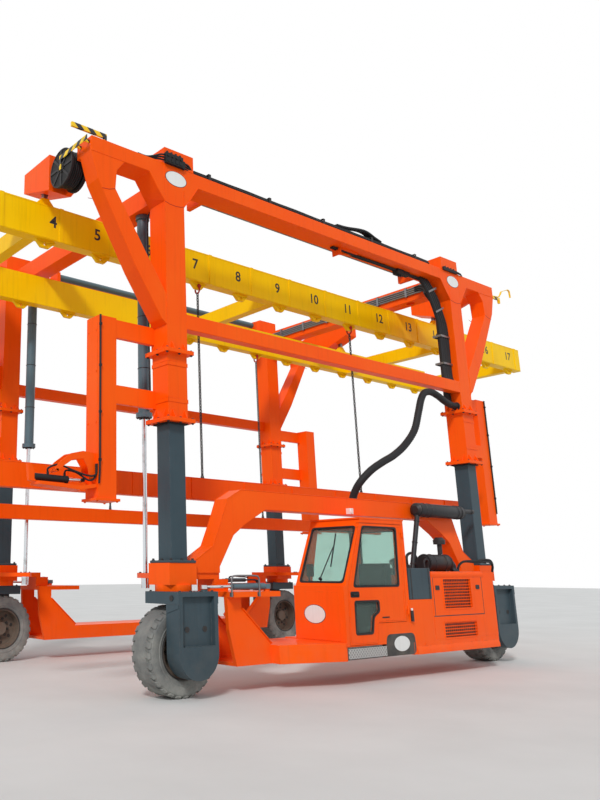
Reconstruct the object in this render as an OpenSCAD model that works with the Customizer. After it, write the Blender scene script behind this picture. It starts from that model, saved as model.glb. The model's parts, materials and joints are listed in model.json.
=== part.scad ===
// Straddle carrier: two wheeled side frames, a portal that slides up on four masts,
// and a lifting spreader with chains and two lower beams.
// Millimetres. X runs along the machine, Y across it, Z up from the ground.
// Places are measured from the near left mast and moved to the base centre at the end.

/* [Overall] */
// Distance between the left and right masts
wheelbase = 6290; // [6000:10:6800]
// Distance between the near and far masts
track = 4300; // [4200:10:4600]
// Near side panels, outwards from the near masts
panel_out = 700; // [660:5:760]

/* [Masts] */
// Side of the square inner masts
mast_w = 238; // [220:2:240]
// Height of the inner masts' base plates
mast_base_z = 1440; // [1420:5:1460]
// Top of the inner masts, inside the outer ones
mast_top_z = 4880; // [4700:10:5000]
// Side of the square outer masts
outer_w = 314; // [310:1:330]
// Side of the outer masts' bore
outer_bore = 254; // [252:1:262]
// Side of the lower sleeves
sleeve_w = 300; // [290:1:306]
// Bottom of the sleeves
sleeve_z = 3060; // [3000:10:3100]
// Bottom of the outer masts
outer_z = 3900; // [3850:10:3950]
// Side of the sleeve flanges
flange_w = 430; // [400:5:450]
// Thickness of the sleeve flanges
flange_t = 50; // [30:5:70]

/* [Portal] */
// Underside of the top beams
beam_z = 6215; // [6150:5:6260]
// Depth of the top beams
beam_h = 195; // [160:5:220]
// Top beam overhang outside the masts
beam_over = 1275; // [1200:5:1350]
// Underside of the tie beams
tie_z = 4242; // [4200:2:4280]
// Depth of the tie beams
tie_h = 192; // [160:4:220]
// Width of the tie beams
tie_w = 140; // [100:5:180]
// Width of the slanted struts
strut_w = 250; // [200:5:300]
// Distance of the posts outside the masts
post_out = 856; // [820:2:900]
// Width of the posts
post_w = 250; // [220:5:270]
// Underside of the posts
post_z = 2140; // [2100:5:2250]
// Top of the posts
post_top_z = 4280; // [4200:10:4350]
// Underside of the cross beams
cross_z = 6050; // [6030:5:6100]
// Depth of the cross beams
cross_h = 280; // [240:5:300]

/* [Spreader] */
// Near face of the near spreader beam
spread_y = 950; // [920:5:980]
// Width of the spreader beams
spread_w = 160; // [140:5:180]
// Underside of the spreader beams
spread_z = 5490; // [5450:5:5520]
// Depth of the spreader beams
spread_h = 475; // [440:5:490]
// Spreader beam length
spread_len = 14670; // [14000:10:15000]
// Lugs on each spreader beam
lug_n = 17; // [11:2:19]
// Distance of the first and last lugs from the beam ends
lug_end = 375; // [300:5:450]
// Radius of the lug holes
lug_hole_r = 22; // [16:1:26]
// Underside of the near lower beam
low_near_z = 2300; // [2200:10:2400]
// Underside of the far lower beam
low_far_z = 2100; // [2050:10:2300]
// Lower beam length
low_len = 10300; // [9000:50:11000]
// Width of the lower beams
low_w = 140; // [120:5:150]
// Depth of the near lower beam
low_near_h = 300; // [240:5:320]
// Depth of the far lower beam
low_far_h = 210; // [180:5:260]

/* [Wheels] */
// Tyre radius
tyre_r = 490; // [480:2:494]
// Tyre width
tyre_w = 360; // [320:5:370]
// Rim radius
rim_r = 300; // [270:5:320]
// Radius of the axle stubs
axle_r = 45; // [35:1:55]
// Underside of the fork's top box
fork_z = 1000; // [995:1:1010]
// Top of the fork's top box
fork_top_z = 1130; // [1110:2:1140]
// Outer face of the fork legs
fork_out = 430; // [420:2:440]
// Half width of the fork legs
fork_half = 280; // [260:5:290]

/* [Cab] */
// Front of the cab
cab_x = 2110; // [2080:5:2150]
// Back of the cab
cab_back_x = 3420; // [3380:5:3440]
// Floor of the cab
cab_z = 460; // [440:5:480]
// Roof of the cab
cab_top_z = 2000; // [1980:5:2030]
// Inner side of the cab
cab_in_y = 100; // [60:5:200]
// Thickness of the cab's walls and door
wall_t = 45; // [35:1:50]

/* [Engine] */
// Front of the engine cover
cover_x = 3950; // [3900:10:4000]
// Back of the engine cover
cover_back_x = 5500; // [5400:10:5540]
// Top of the engine cover
cover_top_z = 1335; // [1300:5:1360]

/* [Hidden] */
hinge_out = 21;
// cab and engine places are measured from a mark this far from the right mast
aft_mark = 6290;
aft_x = wheelbase - aft_mark;
lug_pitch = (spread_len - 2 * lug_end) / (lug_n - 1);
lug_tip_z = spread_z - 95;
spread_top_z = spread_z + spread_h;
y_mid = (track + fork_out - panel_out - hinge_out) / 2;
sill_z = 300;
sill_in_y = 300;
// inner side of the cover beside the shelf, and where that part begins
cover_in_y = -430;
cover_step_x = 4960;
shelf_z = 1060;
arch_y = -120;
arch_t = 220;
rod_x = 95;
rod_y = 643;
rod_r = 29;
barrel_r = 75;
// steering: eye on the fork, pivot on the shelf, height
eye = [180, -320];
pivot = [1130, -360];
steer_z = 1178;
// load chain places, as lug numbers
chain_lugs = [7, 11];
// cord route: x, y, z from the near left mast
hose_route = [[3300, -10, 2330], [3300, -60, 2440], [3330, -150, 2580], [3470, -235, 2740],
  [3700, -270, 2870], [3960, -285, 2990], [4250, -290, 3170], [4520, -290, 3420],
  [4680, -285, 3720], [4800, -270, 3930], [4950, -245, 4060], [5180, -215, 4110],
  [5420, -180, 4085], [5660, -130, 4045], [5900, -80, 4025], [6133, -60, 4020]];
hose_r = 55;

module place() { translate([-wheelbase / 2, -y_mid, 0]) children(); }
module right() { translate([wheelbase, 0, 0]) mirror([1, 0, 0]) children(); }
module ends() { children(); right() children(); }
module aft() { translate([aft_x, 0, 0]) children(); }
module far() { translate([0, track, 0]) mirror([0, 1, 0]) children(); }
module sides() { children(); far() children(); }
module box(lo, hi) { translate(lo) cube(hi - lo); }
// plate with its outline in X and Z, from y to y + t
module plate(pts, y, t) { translate([0, y + t, 0]) rotate([90, 0, 0]) linear_extrude(t) polygon(pts); }
// plate with its outline in Y and Z, from x to x + t
module wall(pts, x, t) { translate([x, 0, 0]) rotate([90, 0, 90]) linear_extrude(t) polygon(pts); }
module bar_x(r, x0, x1, y, z) { translate([x0, y, z]) rotate([0, 90, 0]) cylinder(r = r, h = x1 - x0, $fn = 40); }
module bar_y(r, y0, y1, x, z) { translate([x, y1, z]) rotate([90, 0, 0]) cylinder(r = r, h = y1 - y0, $fn = 40); }
module bar_z(r, z0, z1, x, y) { translate([x, y, z0]) cylinder(r = r, h = z1 - z0, $fn = 40); }
module tube(w, z0, z1) { translate([-w / 2, -w / 2, z0]) cube([w, w, z1 - z0]); }

// Near and far lower side frames

module masts_pair() {
  ends() {
    tube(mast_w, mast_base_z + 30, mast_top_z);
    box([-190, -190, mast_base_z], [190, 190, mast_base_z + 30]);
  }
}
module near_masts() { color("slategray") place() masts_pair(); }
module far_masts() { color("slategray") place() far() masts_pair(); }

module foot() {
  difference() {
    union() {
      box([-200, -180, 1200], [200, 200, mast_base_z]);
      translate([0, 0, 1270]) linear_extrude(60)
        polygon([[-190, 150], [250, 150], [210, 600], [150, 740], [95, 790], [40, 740], [-20, 600]]);
    }
    bar_z(rod_r + 0.5, 1200, 1400, rod_x, rod_y);
  }
  // turntable ring and king pin
  bar_z(210, fork_top_z + 0.5, 1200, 0, 0);
  bar_z(60, 1015, 1200, 0, 0);
}
// shelf and column that join a foot to the sill, with the steering pivot
module shelf() {
  box([540, -420, shelf_z], [1300, sill_in_y, shelf_z + 60]);
  box([540, -100, shelf_z + 60], [760, 200, 1260]);
  box([200, -100, 1260], [620, 200, 1330]);
  bar_z(36, shelf_z + 60, steer_z - 28.5, pivot[0], pivot[1]);
  bar_z(20, shelf_z + 60, steer_z + 28, pivot[0], pivot[1]);
}
module v_plates() {
  pts = [[540, shelf_z], [770, shelf_z], [770, 930], [1230, 520], [1230, sill_z], [666, sill_z], [560, 700]];
  plate(pts, -300, 50);
  plate(pts, sill_in_y - 50, 50);
  box([666, -250, sill_z], [1230, sill_in_y - 50, sill_z + 40]);
}
module near_feet() {
  color("orangered") place() ends() { foot(); shelf(); v_plates(); }
}
module far_frame() {
  color("orangered") place() far() {
    ends() { foot(); shelf(); v_plates(); }
    box([1230, -300, sill_z], [wheelbase - 1230, sill_in_y, 500]);
  }
}

module chassis_arch() {
  // half outline, from the left foot to the middle: x, z
  half = [[620, 1330], [250, 1330], [250, 1480], [520, 1640], [660, 1930], [780, 2210], [1010, 2330]];
  inner = [[1430, 2100], [1050, 1900], [860, 1770], [620, 1400]];
  pts = concat(half, [for (i = [6:-1:0]) [wheelbase - half[i][0], half[i][1]]],
    [for (i = [3:-1:0]) [wheelbase - inner[i][0], inner[i][1]]], inner);
  color("orangered") place() plate(pts, arch_y, arch_t);
}

module chassis_sill() {
  color("orangered") place() {
    // flared front, long pan, panel under the tank
    translate([0, 0, sill_z]) linear_extrude(160)
      polygon([[1230, -430], [aft_x + 2080, -panel_out], [aft_x + cab_x, -panel_out],
        [aft_x + cab_x, sill_in_y], [1230, sill_in_y]]);
    translate([0, 0, sill_z + 160]) linear_extrude(50)
      polygon([[1230, -430], [aft_x + 2080, -panel_out], [aft_x + 2100, -panel_out],
        [aft_x + 2100, sill_in_y], [1230, sill_in_y]]);
    aft() box([cab_x, -640, sill_z], [3440, sill_in_y, cab_z]);
    box([aft_x + 3440, -panel_out, sill_z], [wheelbase - 1230, sill_in_y, cab_z]);
    box([wheelbase - 1230, -panel_out, sill_z], [aft_x + cover_back_x, cover_in_y, cab_z]);
    aft() box([cab_back_x + 5, -panel_out, cab_z], [cover_x - 5, 250, 985]);
    aft() box([cab_x, cab_in_y + 5, cab_z], [cover_x - 5, sill_in_y, cab_z + 60]);
  }
}
module step_plates() {
  color("dimgray") place() aft() {
    box([2110, -panel_out, sill_z + 10], [2790, -640, cab_z - 10]);
    // wheel arch shaped recess with a lamp
    plate([[2830, sill_z + 10], [3430, sill_z + 10], [3400, cab_z - 5], [2870, cab_z - 5]], -panel_out, 60);
  }
}

// Cab
hinge_x = 3368;
hinge_z = [800, 1780];
function screen_x(z) = cab_x + 40 + 350 * (z - 1170) / 780;
module cab_side(d) {
  polygon([[cab_x + d, cab_z + d], [cab_x + d, 1170], [screen_x(1170) + d, 1170],
    [screen_x(cab_top_z - 50) + d, cab_top_z - 50], [screen_x(cab_top_z - 50) + d + 20, cab_top_z - d],
    [cab_back_x - d, cab_top_z - d], [cab_back_x - d, cab_z + d]]);
}
module door_shape(d) {
  polygon([[2170 - d, 475 - d], [2200 - d, 1150], [2503 - d, 1945 + d], [3362 + d, 1945 + d],
    [3330 + d, 720 - d], [2755, 720 - d], [2700 + d, 475 - d]]);
}
module in_y(y, t) { translate([0, y + t, 0]) rotate([90, 0, 0]) linear_extrude(t) children(); }
module cab_shell() {
  color("orangered") place() aft() difference() {
    in_y(-panel_out, panel_out + cab_in_y) cab_side(0);
    in_y(-panel_out + wall_t, panel_out + cab_in_y - 2 * wall_t) cab_side(wall_t);
    in_y(-panel_out - 1, wall_t + 2) door_shape(6);
    // windscreen, inner side window, rear window
    plate([[2040, 1215], [2300, 1215], [2620, 1905], [2360, 1905]], -650, 690);
    plate([[2420, 1180], [3320, 1180], [3320, 1900], [2600, 1900]], cab_in_y - wall_t - 1, wall_t + 2);
    box([cab_back_x - wall_t - 1, -600, 1300], [cab_back_x + 1, 0, 1880]);
  }
  color("orangered") place() aft() for (z = hinge_z) {
    box([3370, -panel_out - 7, z], [3400, -panel_out, z + 58]);
    bar_z(10, z, z + 58, hinge_x, -panel_out - 11);
    bar_z(5, z, z + 118, hinge_x, -panel_out - 11);
  }
}
module cab_glass() {
  color("lightcyan", 0.4) place() aft() {
    plate([[screen_x(1215) + 16, 1215], [screen_x(1215) + 24, 1215],
      [screen_x(1905) + 24, 1905], [screen_x(1905) + 16, 1905]], -650, 690);
    plate([[2420, 1180], [3320, 1180], [3320, 1900], [2600, 1900]], cab_in_y - 27, 8);
    box([cab_back_x - 27, -600, 1300], [cab_back_x - 19, 0, 1880]);
  }
}
module cab_interior() {
  color("dimgray") place() aft() {
    box([2900, -520, cab_z + wall_t], [3200, -120, 800]);
    box([2860, -540, 800], [3280, -100, 900]);
    box([3200, -530, 900], [3310, -110, 1450]);
    box([2260, -420, cab_z + wall_t], [2420, -160, 1000]);
    translate([2400, -290, 1000]) rotate([0, 25, 0]) {
      translate([0, 0, -60]) cylinder(r = 22, h = 190, $fn = 24);
      translate([0, 0, 130]) rotate_extrude($fn = 32) translate([165, 0]) circle(r = 14, $fn = 16);
      translate([-165, -12, 122]) cube([330, 24, 16]);
    }
  }
}
module cab_door() {
  color("orangered") place() aft() {
    difference() {
      in_y(-panel_out, wall_t) door_shape(0);
      in_y(-panel_out - 1, wall_t + 2) polygon([[2310, 1165], [3225, 1165], [3250, 1905], [2555, 1905]]);
      in_y(-panel_out - 1, wall_t + 2) polygon([[2300, 600], [2620, 600], [2660, 800], [2780, 860],
        [2780, 985], [2310, 985]]);
    }
    for (z = hinge_z) difference() {
      union() {
        box([3305, -panel_out - 7, z + 60], [3366, -panel_out, z + 118]);
        bar_z(10, z + 60, z + 118, hinge_x, -panel_out - 11);
      }
      bar_z(5.05, z + 59, z + 119, hinge_x, -panel_out - 11);
    }
  }
}
module door_glass() {
  color("lightcyan", 0.4) place() aft() {
    in_y(-panel_out + 18, 8) polygon([[2310, 1165], [3225, 1165], [3250, 1905], [2555, 1905]]);
    in_y(-panel_out + 18, 8) polygon([[2300, 600], [2620, 600], [2660, 800], [2780, 860], [2780, 985], [2310, 985]]);
  }
}

// Engine bay
module cover_plan(d) {
  polygon([[cover_x + d, -panel_out + d], [cover_back_x - d, -panel_out + d], [cover_back_x - d, cover_in_y - d],
    [cover_step_x - d, cover_in_y - d], [cover_step_x - d, 150 - d], [cover_x + d, 150 - d]]);
}
module engine_cover() {
  // grilles: x0, x1, z0, z1
  grilles = [[4227, 4896, 855, 1240], [4175, 4960, 475, 670]];
  color("orangered") place() aft() {
    difference() {
      translate([0, 0, cab_z]) linear_extrude(cover_top_z - cab_z) cover_plan(0);
      translate([0, 0, cab_z - 1]) linear_extrude(cover_top_z - cab_z - 29) cover_plan(30);
      for (g = grilles) box([g[0], -panel_out - 1, g[2]], [g[1], -panel_out + 31, g[3]]);
    }
    for (g = grilles) for (z = [g[2] + 20:40:g[3] - 10])
      box([g[0], -panel_out + 4, z], [g[1], -panel_out + 26, z + 12]);
  }
}
module engine_block() {
  color("gray") place() aft() {
    box([4020, -450, cab_z], [4890, 60, 1180]);
    bar_x(120, 4380, 4940, -330, cover_top_z + 130);
    for (x = [4440, 4820]) box([x, -390, cover_top_z], [x + 60, -270, cover_top_z + 60]);
  }
}
module exhaust() {
  color("dimgray") place() aft() {
    bar_x(100, 4470, 5590, -235, 2230);
    bar_x(35, 5590, 5960, -235, 2260);
    bar_z(50, cover_top_z, cover_top_z + 40, 4230, -235);
    translate([4230, -235, cover_top_z + 20]) rotate([0, 17, 0]) cylinder(r = 35, h = 880, $fn = 40);
    for (x = [4700, 5400]) box([x, -150, 2180], [x + 60, arch_y, 2280]);
  }
}
module fluid_tank() {
  color("slategray") place() aft() box([3456, -panel_out, 985], [3946, -300, 1390]);
}
module work_lamp() {
  color("white") place() aft() box([3000, arch_y - 60, 2110], [3080, arch_y, 2190]);
}

// Lift cylinders
module lift_rod() { bar_z(rod_r, 1180, 4620, rod_x, rod_y); bar_z(52, 1150, 1270, rod_x, rod_y); }
module near_lift_rod() { color("silver") place() lift_rod(); }
module far_lift_rod() { color("silver") place() far() lift_rod(); }
module cylinder_barrels() {
  color("darkslategray") place() sides() {
    difference() {
      union() {
        bar_z(barrel_r, 3310, 6200, rod_x, rod_y);
        bar_z(105, 3250, 3310, rod_x, rod_y);
        bar_z(95, 5985, 6040, rod_x, rod_y);
      }
      bar_z(rod_r + 0.06, 3200, 3400, rod_x, rod_y);
      bar_z(60, 3400, 6150, rod_x, rod_y);
    }
    bar_x(58, 760, wheelbase - 760, 330, 6385);
  }
}

// Portal
module upper_masts() {
  color("orangered") place() sides() ends() difference() {
    union() {
      tube(sleeve_w, sleeve_z, outer_z);
      tube(outer_w, outer_z, beam_z + beam_h);
      tube(flange_w, sleeve_z, sleeve_z + flange_t);
      tube(flange_w, outer_z, outer_z + flange_t);
      box([-outer_w / 2, -outer_w / 2, beam_z + beam_h], [330, outer_w / 2, 6640]);
    }
    tube(outer_bore, sleeve_z - 1, beam_z + beam_h - 10);
  }
}
module top_beams() {
  h = outer_w / 2;
  strut_out = [[-1275, beam_z], [-1173, 5875], [-850, 5293], [-613, 4872], [-234, 4308], [-h, 4250]];
  strut_in = [[-h, 4640], [-490, 5145], [-920, 5814], [-900, 6060], [-780, beam_z]];
  color("orangered") place() sides() {
    box([h, -h, beam_z], [wheelbase - h, h, beam_z + beam_h]);
    ends() {
      box([-beam_over, -h, beam_z], [-h, h, beam_z + beam_h]);
      plate(concat(strut_out, strut_in), -h, strut_w);
      plate([[h, 5880], [260, 6010], [400, beam_z], [h, beam_z]], -h, outer_w);
      plate([[-h, 5880], [-260, 6010], [-400, beam_z], [-h, beam_z]], -h, outer_w);
      // cylinder brackets
      box([700, h, beam_z], [760, 420, 6450]);
    }
  }
}
module tie_beams() {
  color("orangered") place() sides()
    box([outer_w / 2, -outer_w / 2, tie_z], [wheelbase - outer_w / 2, tie_w - outer_w / 2, tie_z + tie_h]);
}
module posts() {
  color("orangered") place() sides() ends() {
    box([-post_out - post_w / 2, 90, post_z], [-post_out + post_w / 2, 350, post_top_z]);
    box([-post_out + post_w / 2, strut_w - outer_w / 2, 4040], [-outer_w / 2, outer_w / 2, 4260]);
    box([-post_out + post_w / 2, 90, 3240], [-sleeve_w / 2, sleeve_w / 2, 3460]);
    box([-post_out - post_w / 2 - 40, 70, post_z - 30], [-post_out + post_w / 2 + 40, 370, post_z]);
  }
}
module cross_beams() {
  color("orangered") place() {
    ends() difference() {
      box([-50, outer_w / 2, cross_z], [220, track - outer_w / 2, cross_z + cross_h]);
      sides() bar_z(barrel_r + 0.5, cross_z - 1, 6200.5, rod_x, rod_y);
    }
    // outrigger arms: hanging box and web to the beam
    sides() ends() {
      difference() {
        wall([[700, 6030], [1360, 6250], [1360, 6530], [700, 6530]], -1350, 250);
        box([-1262, 988, 6000], [-1178, 1072, 6300]);
      }
      wall([[157, 6180], [157, 6410], [700, 6530], [1360, 6530], [1360, 6250], [700, 6030]], -1100, 80);
    }
  }
}
module hose_gear() {
  color("black") place() {
    bar_x(255, -1340, -1310, 420, 6215);
    bar_x(180, -1310, -1130, 420, 6215);
    bar_x(255, -1130, -1100, 420, 6215);
    // hose along the near top beam
    bar_x(22, -100 + 450, 5700, 100, beam_z + beam_h + 22);
    // strapped bundles down the right mast
    for (x = [-90, -165.5]) bar_z(38, 4080, 5700, wheelbase - outer_w / 2 + x + 52, 40);
  }
}
module reel_guards() {
  color("gold") place() {
    box([-1380, 120, 6640], [-860, 150, 6700]);
    box([-900, 120, 6410], [-860, 150, 6640]);
    box([wheelbase + beam_over, -30, 6300], [wheelbase + beam_over + 480, 0, 6340]);
  }
}
module hoist_chains() {
  color("dimgray") place() sides() ends() box([-1250, 1000, 6080], [-1190, 1060, 6300]);
}

// Spreader
function lug_x(n) = wheelbase / 2 + (n - (lug_n + 1) / 2) * lug_pitch;
module spreader_beams() {
  x0 = wheelbase / 2 - spread_len / 2;
  color("gold") place() sides() {
    box([x0, spread_y, spread_z], [x0 + spread_len, spread_y + spread_w, spread_top_z]);
    for (n = [1:lug_n]) difference() {
      plate([[lug_x(n) - 150, spread_z], [lug_x(n) - 60, lug_tip_z], [lug_x(n) + 60, lug_tip_z],
        [lug_x(n) + 150, spread_z]], spread_y + spread_w / 2 - 25, 50);
      bar_y(lug_hole_r, spread_y, spread_y + spread_w, lug_x(n), spread_z - 50);
    }
    for (n = [1:lug_n]) box([lug_x(n) + 170, spread_y - 12, spread_z], [lug_x(n) + 230, spread_y, spread_top_z]);
  }
}
module spreader_cross() {
  x0 = wheelbase / 2 - spread_len / 2;
  color("gold") place() {
    for (x = [x0 + 190, -1400, wheelbase / 2 - 145, wheelbase + 1360, x0 + spread_len - 190])
      box([x - 80, spread_y + spread_w, spread_z], [x + 80, track - spread_y - spread_w, spread_z + 240]);
    sides() ends() plate([[-1370, spread_top_z], [-1070, spread_top_z], [-1170, spread_top_z + 114.5],
      [-1270, spread_top_z + 114.5]], spread_y + 50, 60);
  }
}
// chain of long links from z0 up to z1, each link turned a quarter from the last
link_n = 14;
link_w = 60;
link_t = 18;
module link(h) {
  difference() {
    translate([-link_w / 2, -link_t / 2, 0]) cube([link_w, link_t, h]);
    translate([link_t - link_w / 2, -link_t, link_t]) cube([link_w - 2 * link_t, 2 * link_t, h - 2 * link_t]);
  }
}
module chain(z0, z1) {
  step = (z1 - z0 - 2 * link_t + 0.2) / link_n;
  for (i = [0:link_n - 1])
    translate([0, 0, z0 + i * step]) rotate([0, 0, 90 * (i % 2)]) link(step + 2 * link_t - 0.2);
}
module load_chains() {
  y = spread_y + spread_w / 2;
  color("dimgray") place() for (n = chain_lugs) {
    translate([lug_x(n), y, 0]) {
      box([-30, -40, lug_tip_z - 65], [30, 40, lug_tip_z]);
      chain(low_near_z + low_near_h, lug_tip_z - 64);
    }
    translate([lug_x(n), track - y, 0]) {
      box([-30, -40, lug_tip_z - 65], [30, 40, lug_tip_z]);
      chain(low_far_z + low_far_h, lug_tip_z - 64);
    }
  }
}
module lower_beams() {
  x0 = wheelbase / 2 - low_len / 2;
  y = spread_y + 10;
  color("orangered") place() {
    box([x0, y, low_near_z], [x0 + low_len, y + low_w, low_near_z + low_near_h]);
    box([x0, track - y - low_w, low_far_z], [x0 + low_len, track - y, low_far_z + low_far_h]);
  }
}

// Forks, wheels and steering cylinders, drawn for the near left corner
module fork() {
  difference() {
    union() {
      box([-290, -fork_out, fork_z], [290, 150, fork_top_z]);
      box([-fork_half, -fork_out, tyre_r], [fork_half, -210, fork_z]);
      bar_y(fork_half, -fork_out, -210, 0, tyre_r);
      bar_z(40, fork_top_z, steer_z - 28, eye[0], eye[1]);
    }
    box([-230, -fork_out - 1, 560], [230, -fork_out + 60, 1080]);
    bar_z(60.05, 1010, fork_top_z + 1, 0, 0);
  }
  bar_y(axle_r, -210, 50, 0, tyre_r);
}
module tyre() {
  w = tyre_w / 2;
  translate([0, 0, tyre_r]) rotate([90, 0, 0]) rotate_extrude($fn = 40)
    polygon([[rim_r, -150], [rim_r + 40, -w + 8], [420, -w], [tyre_r - 26, -w + 6], [tyre_r, -w + 34],
      [tyre_r, w - 34], [tyre_r - 26, w - 6], [420, w], [rim_r + 40, w - 8], [rim_r, 150]]);
}
module rim() {
  translate([0, 0, tyre_r]) rotate([90, 0, 0]) rotate_extrude($fn = 40)
    polygon([[axle_r + 0.05, -60], [axle_r + 0.05, 150], [95, 150], [95, 20], [270, 20], [270, 150],
      [rim_r - 0.3, 150], [rim_r - 0.3, -150], [270, -150], [270, -10], [95, -10], [95, -80], [0, -80], [0, -60]]);
}
module steer_barrel() {
  d = eye - pivot;
  a = atan2(d[1], d[0]);
  translate([pivot[0], pivot[1], steer_z]) rotate([0, 0, a]) {
    difference() {
      union() {
        translate([0, 0, -28]) cylinder(r = 50, h = 56, $fn = 40);
        translate([40, 0, 0]) rotate([0, 90, 0]) cylinder(r = 38, h = 500, $fn = 40);
      }
      translate([0, 0, -40]) cylinder(r = 20.05, h = 80, $fn = 40);
      translate([60, 0, 0]) rotate([0, 90, 0]) cylinder(r = 30, h = 460, $fn = 40);
      translate([500, 0, 0]) rotate([0, 90, 0]) cylinder(r = 18.05, h = 60, $fn = 40);
    }
  }
}
module steer_rod() {
  d = eye - pivot;
  a = atan2(d[1], d[0]);
  len = norm(d);
  translate([pivot[0], pivot[1], steer_z]) rotate([0, 0, a]) {
    translate([300, 0, 0]) rotate([0, 90, 0]) cylinder(r = 18, h = len - 300 - 20, $fn = 40);
    translate([len, 0, -20]) cylinder(r = 40, h = 40, $fn = 40);
  }
}
module fork_nl() { color("slategray") place() fork(); }
module fork_nr() { color("slategray") place() right() fork(); }
module fork_fl() { color("slategray") place() far() fork(); }
module fork_fr() { color("slategray") place() far() right() fork(); }
module tyre_nl() { color("dimgray") place() tyre(); }
module tyre_nr() { color("dimgray") place() right() tyre(); }
module tyre_fl() { color("dimgray") place() far() tyre(); }
module tyre_fr() { color("dimgray") place() far() right() tyre(); }
module rim_nl() { color("sienna") place() rim(); }
module rim_nr() { color("sienna") place() right() rim(); }
module rim_fl() { color("sienna") place() far() rim(); }
module rim_fr() { color("sienna") place() far() right() rim(); }
module steer_barrel_nl() { color("gray") place() steer_barrel(); }
module steer_barrel_nr() { color("gray") place() right() steer_barrel(); }
module steer_barrel_fl() { color("gray") place() far() steer_barrel(); }
module steer_barrel_fr() { color("gray") place() far() right() steer_barrel(); }
module steer_rod_nl() { color("silver") place() steer_rod(); }
module steer_rod_nr() { color("silver") place() right() steer_rod(); }
module steer_rod_fl() { color("silver") place() far() steer_rod(); }
module steer_rod_fr() { color("silver") place() far() right() steer_rod(); }

// Free hose swept along its route
function unit(v) = v / norm(v);
function dir(i, p) = unit(p[min(i + 1, len(p) - 1)] - p[max(i - 1, 0)]);
function ring(i, p, r, n) = let (d = i == 0 ? [0, 0, 1] : i == len(p) - 1 ? [1, 0, 0] : dir(i, p),
    u = unit(cross(d, [0, 1, 0])), v = cross(d, u)) [for (k = [0:n - 1]) p[i] + r * (cos(360 * k / n) * u + sin(360 * k / n) * v)];
module free_hose() {
  n = 12;
  m = len(hose_route);
  pts = [for (i = [0:m - 1]) for (q = ring(i, hose_route, hose_r, n)) q];
  faces = concat([[for (k = [n - 1:-1:0]) k]],
    [for (i = [0:m - 2]) for (k = [0:n - 1]) [i * n + k, i * n + (k + 1) % n, (i + 1) * n + (k + 1) % n, (i + 1) * n + k]],
    [[for (k = [0:n - 1]) (m - 1) * n + k]]);
  color("black") place() polyhedron(points = pts, faces = faces);
}

near_masts();
near_feet();
chassis_arch();
chassis_sill();
step_plates();
cab_shell();
cab_glass();
cab_interior();
engine_cover();
engine_block();
exhaust();
fluid_tank();
work_lamp();
near_lift_rod();
cab_door();
door_glass();
far_masts();
far_frame();
far_lift_rod();
fork_nl();
fork_nr();
fork_fl();
fork_fr();
tyre_nl();
tyre_nr();
tyre_fl();
tyre_fr();
rim_nl();
rim_nr();
rim_fl();
rim_fr();
steer_barrel_nl();
steer_barrel_nr();
steer_barrel_fl();
steer_barrel_fr();
steer_rod_nl();
steer_rod_nr();
steer_rod_fl();
steer_rod_fr();
upper_masts();
top_beams();
tie_beams();
posts();
cross_beams();
cylinder_barrels();
hose_gear();
reel_guards();
hoist_chains();
spreader_beams();
spreader_cross();
load_chains();
lower_beams();
free_hose();
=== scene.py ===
import bpy
import bmesh
import json
import math
from mathutils import Matrix, Vector

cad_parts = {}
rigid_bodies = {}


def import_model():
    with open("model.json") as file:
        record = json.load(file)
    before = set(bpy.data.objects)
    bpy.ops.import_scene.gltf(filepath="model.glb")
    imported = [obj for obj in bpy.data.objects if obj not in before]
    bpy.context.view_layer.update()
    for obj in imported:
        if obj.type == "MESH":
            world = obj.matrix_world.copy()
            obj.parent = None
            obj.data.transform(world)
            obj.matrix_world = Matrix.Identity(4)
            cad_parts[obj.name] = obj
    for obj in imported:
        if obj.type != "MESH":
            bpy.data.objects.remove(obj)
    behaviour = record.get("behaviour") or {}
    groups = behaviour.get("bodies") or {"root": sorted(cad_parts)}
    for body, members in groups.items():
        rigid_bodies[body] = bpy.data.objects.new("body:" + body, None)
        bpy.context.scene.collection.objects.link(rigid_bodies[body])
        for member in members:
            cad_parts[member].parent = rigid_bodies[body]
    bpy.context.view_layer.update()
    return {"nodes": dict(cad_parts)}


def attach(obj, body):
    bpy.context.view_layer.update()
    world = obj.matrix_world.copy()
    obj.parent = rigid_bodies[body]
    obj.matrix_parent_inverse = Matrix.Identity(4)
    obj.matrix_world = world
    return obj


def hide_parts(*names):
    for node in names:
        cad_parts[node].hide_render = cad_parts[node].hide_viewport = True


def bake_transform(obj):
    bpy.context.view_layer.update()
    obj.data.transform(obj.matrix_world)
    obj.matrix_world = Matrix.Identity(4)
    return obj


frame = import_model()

# places below are in metres from the near left mast, as in the part's source
machine = dict(wheelbase=6.29, track=4.3, midAcross=2.0045)
halfBase = machine["wheelbase"] / 2


def at(x, y, z):
    return Vector((x - halfBase, y - machine["midAcross"], z))


mastFrame = Matrix.Translation(at(0, 0, 0))

# each corner: name, place of its mast, direction along and across, side frame it stands on
corners = [
    ("nl", 0.0, 0.0, 1, 1, "near_chassis"),
    ("nr", machine["wheelbase"], 0.0, -1, 1, "near_chassis"),
    ("fl", 0.0, machine["track"], 1, -1, "far_chassis"),
    ("fr", machine["wheelbase"], machine["track"], -1, -1, "far_chassis"),
]


def cornerPlace(corner):
    _, mastX, mastY, along, across, _ = corner
    return Matrix.Translation(at(mastX, mastY, 0)) @ Matrix.Diagonal((along, across, 1, 1))


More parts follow.
